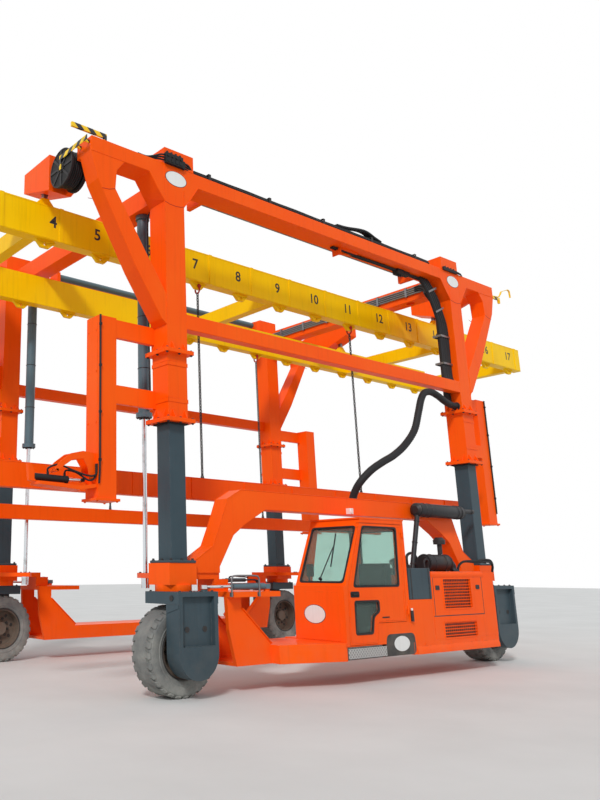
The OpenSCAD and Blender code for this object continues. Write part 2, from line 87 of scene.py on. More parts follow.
# camera, matched to the photograph
shot = dict(place=(-5.808, -7.048, 1.349), turn=0.619, tilt=0.243, focal=771.6, width=600, height=800,
            centreX=117.14, centreY=379.95, farthest=400)
cameraData = bpy.data.cameras.new("photoCamera")
camera = bpy.data.objects.new("photoCamera", cameraData)
bpy.context.scene.collection.objects.link(camera)
camera.location = at(*shot["place"])
camera.rotation_euler = (math.pi / 2 + shot["tilt"], 0, -shot["turn"])
cameraData.sensor_fit = "VERTICAL"
cameraData.lens = shot["focal"] / shot["height"] * cameraData.sensor_height
cameraData.shift_x = (shot["width"] / 2 - shot["centreX"]) / shot["height"]
cameraData.shift_y = (shot["centreY"] - shot["height"] / 2) / shot["height"]
cameraData.clip_end = shot["farthest"]
bpy.context.scene.camera = camera


# shader helpers
def colour(red, green, blue):
    parts = [c / 255 for c in (red, green, blue)]
    return tuple(c / 12.92 if c <= 0.04045 else ((c + 0.055) / 1.055) ** 2.4 for c in parts) + (1.0,)


def feed(tree, socket, value):
    if isinstance(value, bpy.types.NodeSocket):
        tree.links.new(value, socket)
    else:
        socket.default_value = value


def addNode(tree, kind, **values):
    # each value is a setting of the node or goes into the socket of that name
    node = tree.nodes.new("ShaderNode" + kind)
    for key, value in values.items():
        if hasattr(node, key):
            setattr(node, key, value)
        else:
            feed(tree, node.inputs[key], value)
    return node


def mathNode(tree, operation, first, second, clamp=False):
    node = addNode(tree, "Math", operation=operation, use_clamp=clamp)
    feed(tree, node.inputs[0], first)
    feed(tree, node.inputs[1], second)
    return node.outputs[0]


def plus(tree, first, second, clamp=False):
    return mathNode(tree, "ADD", first, second, clamp)


def times(tree, first, second, clamp=False):
    return mathNode(tree, "MULTIPLY", first, second, clamp)


def noiseOf(tree, vector, scale, detail=4.0, rough=0.55):
    node = addNode(tree, "TexNoise", Vector=vector, Scale=scale, Detail=detail, Roughness=rough)
    return node.outputs["Fac"]


def ramp(tree, value, low, high):
    edges = {"From Min": low, "From Max": high}
    return addNode(tree, "MapRange", clamp=True, Value=value, **edges).outputs["Result"]


def mixColour(tree, mask, first, second):
    node = addNode(tree, "Mix", data_type="RGBA", Factor=mask)
    feed(tree, node.inputs[6], first)
    feed(tree, node.inputs[7], second)
    return node.outputs[2]


def useGroup(tree, group, vector, **values):
    return addNode(tree, "Group", node_tree=group, Vector=vector, **values).outputs[0]


def newGroup(name, output, **inputs):
    group = bpy.data.node_groups.new(name, "ShaderNodeTree")
    group.interface.new_socket("Vector", in_out="INPUT", socket_type="NodeSocketVector")
    for label, default in inputs.items():
        socket = group.interface.new_socket(label, in_out="INPUT", socket_type="NodeSocketFloat")
        socket.default_value = default
    group.interface.new_socket(output, in_out="OUTPUT", socket_type="NodeSocketFloat")
    given = group.nodes.new("NodeGroupInput").outputs
    return group, given, group.nodes.new("NodeGroupOutput").inputs[0]


# grime in patches
patchGroup, given, result = newGroup("grimePatches", "Mask", Scale=2.0, Amount=0.4)
patches = noiseOf(patchGroup, given["Vector"], given["Scale"], 6.0, 0.62)
lowest = mathNode(patchGroup, "SUBTRACT", 0.78, times(patchGroup, given["Amount"], 0.45))
patchGroup.links.new(ramp(patchGroup, patches, lowest, 0.86), result)

# dust that thins out with height
dustGroup, given, result = newGroup("lowDust", "Mask", Height=1.2, Amount=0.5)
split = addNode(dustGroup, "SeparateXYZ", Vector=given["Vector"])
share = mathNode(dustGroup, "DIVIDE", split.outputs["Z"], given["Height"])
clouds = ramp(dustGroup, noiseOf(dustGroup, given["Vector"], 5.0, 7.0, 0.65), 0.30, 0.72)
dust = times(dustGroup, mathNode(dustGroup, "SUBTRACT", 1.0, share, True), clouds)
dustGroup.links.new(times(dustGroup, dust, given["Amount"], True), result)

# streaks that run down
streakGroup, given, result = newGroup("rainStreaks", "Mask", Amount=0.3)
drawnOut = addNode(streakGroup, "Mapping", Vector=given["Vector"], Scale=(9.0, 9.0, 0.55)).outputs[0]
streaks = ramp(streakGroup, noiseOf(streakGroup, drawnOut, 2.4, 5.0, 0.6), 0.52, 0.80)
streakGroup.links.new(times(streakGroup, streaks, given["Amount"], True), result)

# paint worn off the edges
edgeGroup, given, result = newGroup("edgeWear", "Mask", Amount=0.5)
turned = addNode(edgeGroup, "VectorMath", operation="DOT_PRODUCT")
feed(edgeGroup, turned.inputs[0], addNode(edgeGroup, "Bevel", samples=4, Radius=0.009).outputs[0])
feed(edgeGroup, turned.inputs[1], addNode(edgeGroup, "NewGeometry").outputs["Normal"])
edges = ramp(edgeGroup, mathNode(edgeGroup, "SUBTRACT", 1.0, turned.outputs["Value"]), 0.02, 0.16)
broken = ramp(edgeGroup, noiseOf(edgeGroup, given["Vector"], 14.0, 5.0, 0.7), 0.46, 0.66)
edgeGroup.links.new(times(edgeGroup, times(edgeGroup, edges, broken), given["Amount"], True), result)

# fine grain for the bump
grainGroup, given, result = newGroup("fineGrain", "Height", Scale=220.0)
fine = noiseOf(grainGroup, given["Vector"], given["Scale"], 3.0, 0.6)
wide = noiseOf(grainGroup, given["Vector"], 9.0, 2.0, 0.5)
grainGroup.links.new(plus(grainGroup, fine, times(grainGroup, wide, 1.5)), result)

finishes = {}


def newMaterial(name):
    material = bpy.data.materials.new(name)
    material.use_nodes = True
    finishes[name] = material
    tree = material.node_tree
    return tree, tree.nodes["Principled BSDF"], addNode(tree, "TexCoord").outputs["Object"]


def bumpInto(tree, shader, height, strength, distance):
    bump = addNode(tree, "Bump", Strength=strength, Distance=distance, Height=height)
    feed(tree, shader.inputs["Normal"], bump.outputs["Normal"])


def makeFinish(name, base, second, grime, patches, streaks, dust, rough, bare=None, edges=0.0, dustHeight=1.1,
               dustColour=(150, 140, 125), metal=0.0, coat=0.0, shine=0.28, grain=180.0, bump=0.12):
    tree, shader, where = newMaterial(name)
    grime = colour(*grime)
    clouds = ramp(tree, noiseOf(tree, where, 1.3, 3.0), 0.25, 0.75)
    shade = mixColour(tree, clouds, colour(*base), colour(*second))
    patches = useGroup(tree, patchGroup, where, Scale=3.0, Amount=patches)
    shade = mixColour(tree, patches, shade, grime)
    shade = mixColour(tree, useGroup(tree, streakGroup, where, Amount=streaks), shade, grime)
    if edges:
        shade = mixColour(tree, useGroup(tree, edgeGroup, where, Amount=edges), shade, colour(*bare))
    dust = useGroup(tree, dustGroup, where, Height=dustHeight, Amount=dust)
    rough = plus(tree, plus(tree, rough, times(tree, patches, 0.2)), times(tree, dust, 0.35), True)
    values = {"Base Color": mixColour(tree, dust, shade, colour(*dustColour)), "Roughness": rough,
              "Metallic": metal, "Coat Weight": coat, "Coat Roughness": 0.12, "Specular IOR Level": shine}
    for label, value in values.items():
        feed(tree, shader.inputs[label], value)
    bumpInto(tree, shader, useGroup(tree, grainGroup, where, Scale=grain), bump, 0.002)


looks = dict(
    orangePaint=dict(base=(252, 84, 4), second=(254, 96, 10), grime=(158, 56, 14), bare=(126, 62, 36),
                     patches=0.14, streaks=0.12, edges=0.55, dust=0.14, dustHeight=0.9, rough=0.38,
                     shine=0.12),
    slatePaint=dict(base=(52, 68, 76), second=(62, 79, 87), grime=(36, 42, 45), bare=(120, 118, 112),
                    patches=0.3, streaks=0.3, edges=0.6, dust=0.14, dustHeight=1.3, rough=0.42, shine=0.22),
    # the barrels' slate paint made lighter: the lighter base paints light on barrels that sit in the beam's
    # shade, and the fainter patches and streaks are less grime
    barrelPaint=dict(base=(78, 100, 110), second=(90, 113, 122), grime=(48, 58, 62), bare=(120, 118, 112),
                     patches=0.25, streaks=0.2, edges=0.4, dust=0.2, rough=0.34, coat=0.1),
    yellowPaint=dict(base=(254, 208, 0), second=(246, 194, 0), grime=(160, 118, 8), bare=(116, 90, 36),
                     patches=0.16, streaks=0.2, edges=0.55, dust=0.06, rough=0.4, shine=0.14),
    blackPaint=dict(base=(34, 35, 38), second=(46, 47, 50), grime=(70, 64, 56), bare=(120, 116, 110),
                    patches=0.3, streaks=0.2, edges=0.5, dust=0.45, rough=0.45),
    tyreRubber=dict(base=(88, 90, 91), second=(108, 110, 108), grime=(140, 138, 130), patches=0.5,
                    streaks=0.0, dust=0.8, dustHeight=1.3, dustColour=(172, 171, 163), rough=0.8, grain=90.0,
                    bump=0.3),
    rimPaint=dict(base=(84, 70, 62), second=(104, 88, 76), grime=(92, 58, 36), bare=(130, 100, 80),
                  patches=0.6, streaks=0.1, edges=0.5, dust=0.5, rough=0.6),
    darkSteel=dict(base=(48, 48, 52), second=(62, 60, 60), grime=(86, 62, 44), bare=(140, 136, 130),
                   patches=0.4, streaks=0.1, edges=0.5, dust=0.3, rough=0.5, metal=0.5),
    bareSteel=dict(base=(140, 140, 142), second=(120, 121, 124), grime=(92, 74, 58), bare=(180, 178, 172),
                   patches=0.35, streaks=0.15, edges=0.3, dust=0.1, rough=0.38, metal=0.85),
    hoseRubber=dict(base=(26, 26, 28), second=(38, 38, 40), grime=(62, 58, 54), patches=0.3, streaks=0.0,
                    dust=0.15, rough=0.62, grain=120.0, bump=0.2),
    trimPlastic=dict(base=(40, 40, 43), second=(50, 50, 53), grime=(70, 68, 64), patches=0.2, streaks=0.0,
                     dust=0.1, rough=0.6, grain=300.0, bump=0.25),
    lampWhite=dict(base=(236, 236, 232), second=(226, 228, 226), grime=(160, 156, 146), patches=0.2,
                   streaks=0.2, dust=0.15, rough=0.28, coat=0.3),
    # the red of the shackles, also used as the colour of the painted shadow lines at the heads
    redCable=dict(base=(176, 40, 26), second=(160, 34, 22), grime=(80, 40, 30), patches=0.3, streaks=0.1,
                  dust=0.1, rough=0.5),
    seatCloth=dict(base=(44, 46, 52), second=(56, 58, 64), grime=(84, 80, 74), patches=0.2, streaks=0.0,
                   dust=0.0, rough=0.85, grain=700.0, bump=0.5),
)
for name, look in looks.items():
    makeFinish(name, **look)


def twoTone(name, mask, first, second, rough, vary, maskOf=None):
    # two colours under a mask, and a roughness that goes with it
    tree, shader, where = newMaterial(name)
    mask = mask(tree, where)
    feed(tree, shader.inputs["Base Color"], mixColour(tree, mask, colour(*first), colour(*second)))
    worn = maskOf(tree, where) if maskOf else mask
    feed(tree, shader.inputs["Roughness"], plus(tree, rough, times(tree, worn, vary)))
    return tree, shader, mask


def patchMask(scale, amount=0.5):
    return lambda tree, where: useGroup(tree, patchGroup, where, Scale=scale, Amount=amount)


def slantedBands(tree, where):
    # yellow and black guard stripes, slanted across X and Z
    wave = addNode(tree, "TexWave", wave_type="BANDS", bands_direction="DIAGONAL", Scale=3.4, Distortion=0.0,
                   Vector=where)
    return ramp(tree, wave.outputs["Fac"], 0.48, 0.52)


def treadPattern(tree, where):
    # raised bars of a tread plate, in two directions
    heights = []
    for turn in (45, -45):
        aim = addNode(tree, "Mapping", Vector=where, Rotation=(0, math.radians(turn), 0))
        wave = addNode(tree, "TexWave", wave_type="BANDS", bands_direction="X", Scale=9.0, Distortion=0.0,
                       Vector=aim.outputs[0])
        heights.append(ramp(tree, wave.outputs["Fac"], 0.72, 0.95))
    return mathNode(tree, "MAXIMUM", *heights)


_, shader, _ = twoTone("chromeRod", patchMask(6.0), (214, 218, 222), (150, 148, 142), 0.12, 0.25)
shader.inputs["Metallic"].default_value = 1.0
_, shader, _ = twoTone("cabPane", patchMask(4.0), (204, 228, 220), (188, 204, 196), 0.04, 0.12)
shader.inputs["Transmission Weight"].default_value = 0.92
shader.inputs["IOR"].default_value = 1.12
twoTone("guardStripes", slantedBands, (28, 28, 30), (248, 206, 10), 0.35, 0.3, patchMask(6.0, 0.4))
tree, shader, bars = twoTone("treadPlate", treadPattern, (150, 150, 148), (206, 206, 204), 0.5, -0.2)
shader.inputs["Metallic"].default_value = 0.8
bumpInto(tree, shader, bars, 0.6, 0.004)
print("finishes made:", len(finishes))

# what each finish is called in the part's slots: orangePaint is orange_paint, with a few exceptions
slots = {name: "".join("_" + c.lower() if c.isupper() else c for c in name) for name in finishes}
slots.update(trimPlastic="cab_trim", seatCloth="cab_trim", guardStripes="yellow_paint", redCable="dark_steel",
             treadPlate="bare_steel")


def softenEdges(piece, width, segments=2):
    soft = piece.modifiers.new("softEdges", "BEVEL")
    soft.width = width
    soft.segments = segments
    soft.limit_method = "ANGLE"
    soft.angle_limit = math.radians(40)


# carried-over nodes: finish, width of the softened edges, names, with * for the four corners
nodeLooks = [
    ("slatePaint", 0.008, "near_masts far_masts fork_*"),
    ("slatePaint", 0.010, "fluid_tank"),
    # the barrels take the lightened slate paint, which paints light on them
    ("barrelPaint", 0, "cylinder_barrels steer_barrel_*"),
    ("orangePaint", 0.006, "near_feet chassis_arch chassis_sill cab_door far_frame"),
    ("orangePaint", 0.006, "top_beams tie_beams posts cross_beams lower_beams"),
    ("orangePaint", 0.008, "upper_masts"),
    ("orangePaint", 0.010, "cab_shell"),
    ("orangePaint", 0.012, "engine_cover"),
    ("yellowPaint", 0.005, "spreader_beams spreader_cross"),
    ("blackPaint", 0.004, "step_plates exhaust"),
    ("darkSteel", 0.006, "engine_block"),
    ("darkSteel", 0, "load_chains"),
    ("bareSteel", 0, "hoist_chains"),
    ("hoseRubber", 0, "hose_gear free_hose"),
    ("trimPlastic", 0.008, "cab_interior"),
    ("lampWhite", 0, "work_lamp"),
    ("chromeRod", 0, "near_lift_rod far_lift_rod steer_rod_*"),
    ("cabPane", 0, "cab_glass door_glass"),
    ("tyreRubber", 0, "tyre_*"),
    ("rimPaint", 0, "rim_*"),
    ("guardStripes", 0, "reel_guards"),
]
done = 0
for look, width, names in nodeLooks:
    for name in names.split():
        for full in dict.fromkeys(name.replace("*", corner[0]) for corner in corners):
            node = frame["nodes"][full]
            for place in node.material_slots:
                place.material = finishes[look]
            if width:
                weld = node.modifiers.new("joinCorners", "WELD")
                weld.merge_threshold = 0.0002
                softenEdges(node, width)
            done += 1
print("nodes finished:", done)


# mesh helpers, each adds one thing to a bmesh
def addBox(bm, low, high):
    low, high = Vector(low), Vector(high)
    place = Matrix.Translation((low + high) / 2) @ Matrix.Diagonal((*(high - low), 1))
    bmesh.ops.create_cube(bm, size=1, matrix=place)


def turnTo(direction):
    return Vector(direction).normalized().to_track_quat("Z", "Y").to_matrix().to_4x4()


def addRod(bm, start, end, radius, sides=20, endRadius=None):
    start, end = Vector(start), Vector(end)
    place = Matrix.Translation((start + end) / 2) @ turnTo(end - start)
    bmesh.ops.create_cone(bm, cap_ends=True, segments=sides, radius1=radius, matrix=place,
                          radius2=radius if endRadius is None else endRadius, depth=(end - start).length)


def addPost(bm, x, y, low, high, radius, sides=20, endRadius=None):
    addRod(bm, (x, y, low), (x, y, high), radius, sides, endRadius)


def addBall(bm, centre, radius):
    bmesh.ops.create_uvsphere(bm, u_segments=16, v_segments=10, radius=radius,
                              matrix=Matrix.Translation(centre))


def addShape(bm, other, place):
    # moves another bmesh to its place and takes it in
    bmesh.ops.transform(other, matrix=place, verts=other.verts)
    shape = bpy.data.meshes.new("shape")
    other.to_mesh(shape)
    other.free()
    bm.from_mesh(shape)
    bpy.data.meshes.remove(shape)


def addRing(bm, centre, axis, radius, thickness, around=32, sides=10):
    ring = bmesh.new()
    place = Matrix.Translation(Vector((radius, 0, 0))) @ Matrix.Rotation(math.pi / 2, 4, "X")
    bmesh.ops.create_circle(ring, segments=sides, radius=thickness, matrix=place)
    bmesh.ops.spin(ring, geom=ring.verts[:] + ring.edges[:], cent=(0, 0, 0), axis=(0, 0, 1), angle=math.tau,
                   steps=around, use_merge=True)
    addShape(bm, ring, Matrix.Translation(centre) @ turnTo(axis))


def extrude(bm, faces, push):
    out = bmesh.ops.extrude_face_region(bm, geom=faces)["geom"]
    bmesh.ops.translate(bm, verts=[v for v in out if isinstance(v, bmesh.types.BMVert)], vec=Vector(push))


def addPrism(bm, outline, push):
    extrude(bm, [bm.faces.new([bm.verts.new(Vector(p)) for p in outline])], push)


def addFrame(bm, inner, outer, lift, push):
    # ring between two flat outlines of the same count, lifted into space and given a depth
    lows = [bm.verts.new(lift(p)) for p in inner]
    highs = [bm.verts.new(lift(p)) for p in outer]
    sides = range(len(lows))
    extrude(bm, [bm.faces.new((lows[i - 1], lows[i], highs[i], highs[i - 1])) for i in sides], push)


def addBolt(bm, place, axis, radius=0.012, height=0.01):
    axis = Vector(axis).normalized()
    place = Vector(place)
    addRod(bm, place - axis * 0.001, place + axis * height * 0.35, radius * 1.5, 16)
    addRod(bm, place, place + axis * height, radius, 6)


def roundAbout(count, radius, turn=0.0):
    angles = [turn + math.tau * k / count for k in range(count)]
    return [(radius * math.cos(angle), radius * math.sin(angle)) for angle in angles]


def boltRing(bm, centre, axis, radius, count, bolt=0.012, turn=0.0, height=0.012):
    place = Matrix.Translation(centre) @ turnTo(axis)
    for x, y in roundAbout(count, radius, turn):
        addBolt(bm, place @ Vector((x, y, 0)), axis, bolt, height)


def boltSquare(bm, centre, axis, half, bolt, height):
    for a in (-1, 0, 1):
        for b in (-1, 0, 1):
            if a or b:
                addBolt(bm, Vector(centre) + Vector((a * half, b * half, 0)), axis, bolt, height)


def weldBead(bm, start, end, radius=0.005):
    addRod(bm, start, end, radius, 8)


def smoothRoute(points, steps):
    points = [Vector(p) for p in points]
    last = len(points) - 1
    out = []
    for i in range(last):
        before, start, end, after = points[max(i - 1, 0)], points[i], points[i + 1], points[min(i + 2, last)]
        for k in range(steps):
            t = k / steps
            bend = (2 * before - 5 * start + 4 * end - after) * t ** 2
            twist = (3 * start - before - 3 * end + after) * t ** 3
            out.append(start + 0.5 * ((end - before) * t + bend + twist))
    return out + [points[-1]]


def sweep(bm, points, radii, sides=12):
    rings = []
    side = Vector((0, 1, 0))
    for i, point in enumerate(points):
        ahead = (points[min(i + 1, len(points) - 1)] - points[max(i - 1, 0)]).normalized()
        side = (side - ahead * side.dot(ahead)).normalized()
        up = ahead.cross(side)
        rings.append([bm.verts.new(point + a * side + b * up) for a, b in roundAbout(sides, radii[i])])
    for first, second in zip(rings, rings[1:]):
        for k in range(sides):
            bm.faces.new((first[k - 1], first[k], second[k], second[k - 1]))
    bm.faces.new(rings[0][::-1])
    bm.faces.new(rings[-1])


def addHose(bm, points, radius, steps=6, sides=10):
    route = smoothRoute(points, steps)
    sweep(bm, route, [radius] * len(route), sides)


# flat outlines, given as pairs
def rectangle(left, low, right, high):
    return [(left, low), (right, low), (right, high), (left, high)]


def rounded(points, radius, steps=5):
    out = []
    count = len(points)
    for i in range(count):
        before, corner, after = (Vector(points[k % count]) for k in (i - 1, i, i + 1))
        reach = min(radius, (before - corner).length * 0.45, (after - corner).length * 0.45)
        start = corner + (before - corner).normalized() * reach
        end = corner + (after - corner).normalized() * reach
        for k in range(steps + 1):
            t = k / steps
            out.append(start * (1 - t) ** 2 + corner * 2 * t * (1 - t) + end * t * t)
    return out


def grown(points, by):
    # the outline may run either way
    points = [Vector(p) for p in points]
    way = 1 if sum(a.x * b.y - b.x * a.y for a, b in zip(points, points[1:] + points[:1])) > 0 else -1
    out = []
    for i, corner in enumerate(points):
        first = (corner - points[i - 1]).normalized()
        second = (points[(i + 1) % len(points)] - corner).normalized()
        normal = Vector((first.y + second.y, -first.x - second.x)) * way
        normal.normalize()
        square = Vector((first.y, -first.x)) * way
        out.append(corner + normal * by / max(normal.dot(square), 0.35))
    return out


def facing(y):
    # lifts a pair onto the upright plane at y
    return lambda p: Vector((p[0], y, p[1]))


def roundPlate(outline, radius, y, depth, steps=5):
    return [facing(y)(p) for p in rounded(outline, radius, steps)], (0, -depth, 0)


def windowSeal(bm, outline, lift, push, radius=0.05, lip=0.014, cover=0.012):
    addFrame(bm, rounded(grown(outline, -lip), radius), rounded(grown(outline, cover), radius), lift, push)


def beadsOn(planes, lines, radius=0.005):
    # weld beads along lines of x and z, on each plane
    return [((start[0], y, start[1]), (end[0], y, end[1]), radius)
            for y in planes for line in lines for start, end in zip(line, line[1:])]


makers = dict(boxes=addBox, rods=addRod, posts=addPost, balls=addBall, rings=addRing, prisms=addPrism,
              frames=addFrame, seals=windowSeal, bolts=addBolt, boltRings=boltRing, boltSquares=boltSquare,
              beads=weldBead, hoses=addHose)


def makePiece(name, look, body, parts, bevel=0.0, smooth=35, clean=True, place=mastFrame):
    # parts: a function that draws, or rows for the makers above
    bm = bmesh.new()
    if callable(parts):
        parts(bm)
    else:
        for kind, rows in parts.items():
            for row in rows:
                makers[kind](bm, *row)
    bmesh.ops.transform(bm, matrix=place, verts=bm.verts)
    if clean:
        bmesh.ops.remove_doubles(bm, verts=bm.verts, dist=0.00005)
        bmesh.ops.recalc_face_normals(bm, faces=bm.faces)
    mesh = bpy.data.meshes.new(name)
    bm.to_mesh(mesh)
    bm.free()
    for face in mesh.polygons:
        face.use_smooth = True
    mesh.set_sharp_from_angle(angle=math.radians(smooth))
    mesh.materials.append(finishes[look])
    piece = bpy.data.objects.new(name, mesh)
    bpy.context.scene.collection.objects.link(piece)
    if bevel:
        softenEdges(piece, bevel)
    if body:
        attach(piece, body)
    return piece


def perCorner(name, look, body, parts, bevel=0.0, smooth=35):
    # body: one body, "side" for the side frame, or "fork_" or "wheel_" for the corner's own
    for corner in corners:
        rides = corner[5] if body == "side" else body + corner[0] if body.endswith("_") else body
        makePiece(name + "_" + corner[0], look, rides, parts, bevel, smooth=smooth, place=cornerPlace(corner))


# corrugated hose from the side frame up to the tie beam
riser = dict(route=[(3.3, -0.01, 2.33), (3.3, -0.06, 2.44), (3.33, -0.15, 2.58), (3.47, -0.235, 2.74),
                    (3.7, -0.27, 2.87), (3.96, -0.285, 2.99), (4.25, -0.29, 3.17), (4.52, -0.29, 3.42),
                    (4.68, -0.285, 3.72), (4.8, -0.27, 3.93), (4.95, -0.245, 4.06), (5.18, -0.215, 4.11),
                    (5.42, -0.18, 4.085), (5.66, -0.13, 4.045), (5.9, -0.08, 4.025), (6.133, -0.06, 4.02)],
             radius=0.055, groove=0.005, sides=16, steps=16)
hosePath = [at(*p) for p in riser["route"]]
hoseLine = smoothRoute(hosePath, riser["steps"])
ribs = [riser["radius"] - (riser["groove"] if i % 2 else 0) for i in range(len(hoseLine))]
riserHose = makePiece("riser_hose", "hoseRubber", None, lambda bm: sweep(bm, hoseLine, ribs, riser["sides"]),
                      smooth=60, place=Matrix())
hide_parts("free_hose")
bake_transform(riserHose)

# tyres, with a plain middle band and notched shoulders
tyre = dict(radius=0.49, base=0.472, width=0.36, rim=0.3, blocks=28, band=0.095, lean=0.05)


def tyreShape(bm):
    half, rim, base, top, band = tyre["width"] / 2, tyre["rim"], tyre["base"], tyre["radius"], tyre["band"]
    outline = [(rim, -0.15), (rim + 0.012, 0.014 - half), (rim + 0.04, 0.008 - half), (0.35, 0.002 - half),
               (0.362, 0.007 - half), (0.374, 0.002 - half), (0.43, -half), (0.452, 0.006 - half),
               (base, 0.03 - half), (base, -band - 0.006), (top, -band)]
    outline += [(r, -y) for r, y in reversed(outline)]
    verts = [bm.verts.new((r, y, 0)) for r, y in outline]
    edges = [bm.edges.new((a, b)) for a, b in zip(verts, verts[1:])]
    bmesh.ops.spin(bm, geom=verts + edges, cent=(0, 0, 0), axis=(0, 1, 0), angle=math.tau,
                   steps=tyre["blocks"] * 2, use_merge=True)
    step = math.tau / tyre["blocks"]
    # each row: place across, lean, reach and half width of a block, from the band out to the shoulder
    rows = [(band - 0.012, 0.0, top, 0.30), (half - 0.034, tyre["lean"], top, 0.30),
            (half - 0.012, tyre["lean"], top - 0.016, 0.27)]
    for side in (-1, 1):
        for k in range(tyre["blocks"]):
            start = step * (k + (0.5 if side > 0 else 0))
            ends = []
            for y, lean, high, share in rows:
                low = base - 0.014
                for turn, reach in ((-share, high), (share, high), (share, low), (-share, low)):
                    angle = start + lean + step * turn
                    ends.append(bm.verts.new((reach * math.cos(angle), side * y, reach * math.sin(angle))))
            for first in (0, 4):
                for i in range(4):
                    after = (i + 1) % 4
                    quad = (first + i, first + after, first + 4 + after, first + 4 + i)
                    bm.faces.new([ends[c] for c in quad])
            bm.faces.new(ends[:4])
            bm.faces.new(ends[8:])
    bmesh.ops.translate(bm, verts=bm.verts, vec=(0, 0, top))


perCorner("tyre_tread", "tyreRubber", "wheel_", tyreShape, smooth=30)
for corner in corners:
    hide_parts("tyre_" + corner[0])

hub = tyre["radius"]
perCorner("rim_fittings", "darkSteel", "wheel_", dict(
    boltRings=[((0, 0.0105, hub), (0, 1, 0), 0.15, 10, 0.014, 0.1, 0.022),
               ((0, -0.0205, hub), (0, -1, 0), 0.15, 10, 0.014, 0.1, 0.022)],
    rings=[((0, y, hub), (0, 1, 0), tyre["rim"] - 0.006, 0.009, 48, 8) for y in (-0.15366, 0.15366)],
    rods=[((x, 0.0102, hub + z), (x, 0.0142, hub + z), 0.028, 18, 0.024)
          for x, z in roundAbout(8, 0.215, 0.2)]))

# forks: bolts, wells, lifting eyes, ribs and weld beads
perCorner("fork_fittings", "darkSteel", "fork_", dict(
    rods=[((x, -0.3705, 0.735), (x, -0.376, 0.735), 0.032, 24) for x in (-0.125, 0.13)]
    + [((way * 0.2905, -0.32, 1.065), (way * 0.3, -0.32, 1.065), 0.03) for way in (-1, 1)],
    bolts=[((x, y, 1.1302), (0, 0, 1), 0.012, 0.014) for x in (-0.235, -0.08, 0.08, 0.235)
           for y in (-0.39, 0.12)]))
perCorner("fork_ribs", "slatePaint", "fork_", dict(
    prisms=[([(way * 0.2805, y, z) for y, z in ((-0.424, 1.0), (-0.216, 1.0), (-0.216, 0.9), (-0.424, 0.96))],
             (way * 0.006, 0, 0)) for way in (-1, 1)],
    beads=beadsOn([-0.3715], [[(-0.229, 0.561), (0.229, 0.561)], [(-0.229, 0.561), (-0.229, 1.079)],
                              [(0.229, 0.561), (0.229, 1.079)]], 0.004)), 0.003)

# mast feet, wiper collars where the masts enter their sleeves, and the sleeves' bolts and gussets
perCorner("foot_bolts", "darkSteel", "side", dict(
    boltSquares=[((0, 0, 1.4702), (0, 0, 1), 0.16, 0.013, 0.022)],
    boltRings=[((0.095, 0.643, 1.3302), (0, 0, 1), 0.075, 6, 0.009)]))
wiper = dict(outer=0.15, inner=0.121, low=3.042, high=3.0598)
outer, inner, low, high = wiper.values()
perCorner("mast_wipers", "hoseRubber", "upper_frame", dict(
    boxes=[((-outer, -outer, low), (outer, -inner, high)), ((-outer, inner, low), (outer, outer, high)),
           ((-outer, -inner, low), (-inner, inner, high)), ((inner, -inner, low), (outer, inner, high))]),
          0.002)
perCorner("sleeve_bolts", "darkSteel", "upper_frame", dict(
    boltSquares=[((0, 0, z + lift), (0, 0, way), 0.188, 0.012, 0.014)
                 for z in (3.06, 3.9) for lift, way in ((0.0502, 1), (-0.0002, -1))]))


def sleeveGussets(bm):
    for z, half, rise in ((3.11, 0.1502, 0.11), (3.95, 0.1572, 0.10)):
        for turn in range(4):
            spin = Matrix.Rotation(turn * math.pi / 2, 4, "Z")
            for y in (-0.09, 0.09):
                corner = [(half, y, z), (half + 0.0548, y, z), (half, y, z + rise)]
                addPrism(bm, [spin @ Vector(p) for p in corner], spin @ Vector((0, 0.01, 0)))
    # rubbing strips
    for z in (3.3, 3.75):
        addBox(bm, (-0.156, -0.156, z), (0.156, -0.1502, z + 0.05))
        addBox(bm, (-0.156, -0.156, z), (-0.1502, 0.156, z + 0.05))


perCorner("sleeve_gussets", "orangePaint", "upper_frame", sleeveGussets, 0.002)

# weld beads of the portal, and thin dark red lines below the head plate and along the strut that paint the
# shadow in the gaps there
seam = dict(face=0.1572, dark=0.1575)
perCorner("portal_seams", "orangePaint", "upper_frame", dict(
    beads=beadsOn([-seam["face"], seam["face"]],
                  [[(-0.157, 4.242), (-0.157, 4.64)], [(0.157, 5.88), (0.157, 6.1)],
                   [(0.157, 5.88), (0.26, 6.01), (0.4, 6.215)], [(-0.157, 6.215), (-0.157, 6.41)]])
    + beadsOn([-seam["face"]], [[(-0.78, 6.215), (-1.275, 6.215)], [(-0.157, 6.411), (0.33, 6.411)]])
    + [((seam["face"], -0.157, z), (seam["face"], -0.017, z)) for z in (4.242, 4.434)]))
# painted shadow: these dark red beads stand for the shade in the gaps under the head plate and along the
# strut
perCorner("head_shade_lines", "redCable", "upper_frame", dict(
    beads=beadsOn([-seam["dark"], seam["dark"]],
                  [[(-0.155, 5.874), (-0.08, 5.856), (0.02, 5.852), (0.1, 5.864), (0.155, 5.882)],
                   [(-1.112, 5.766), (-1.015, 5.778), (-0.928, 5.81)]], 0.0035)))

# posts: cover plate, foot bolts and a clipped hose
perCorner("post_fittings", "orangePaint", "upper_frame", dict(
    boxes=[((-0.984, 0.12, 2.3), (-0.9812, 0.32, 4.2))],
    bolts=[((-0.9842, y, z), (-1, 0, 0), 0.009, 0.008) for z in (2.42, 3.0, 3.6, 4.1) for y in (0.135, 0.305)]
    + [((x, y, 2.1098), (0, 0, -1), 0.011, 0.012) for x in (-0.99, -0.72) for y in (0.095, 0.345)]), 0.001)
perCorner("post_hoses", "hoseRubber", "upper_frame", dict(
    hoses=[([(-0.9692, 0.078, 4.28), (-0.969, 0.076, 3.6), (-0.969, 0.077, 3.0), (-0.969, 0.076, 2.5),
             (-0.975, 0.082, 2.3)], 0.0115)],
    boxes=[((-0.982, 0.062, z), (-0.955, 0.0898, z + 0.03)) for z in (2.55, 3.1, 3.65, 4.15)]))

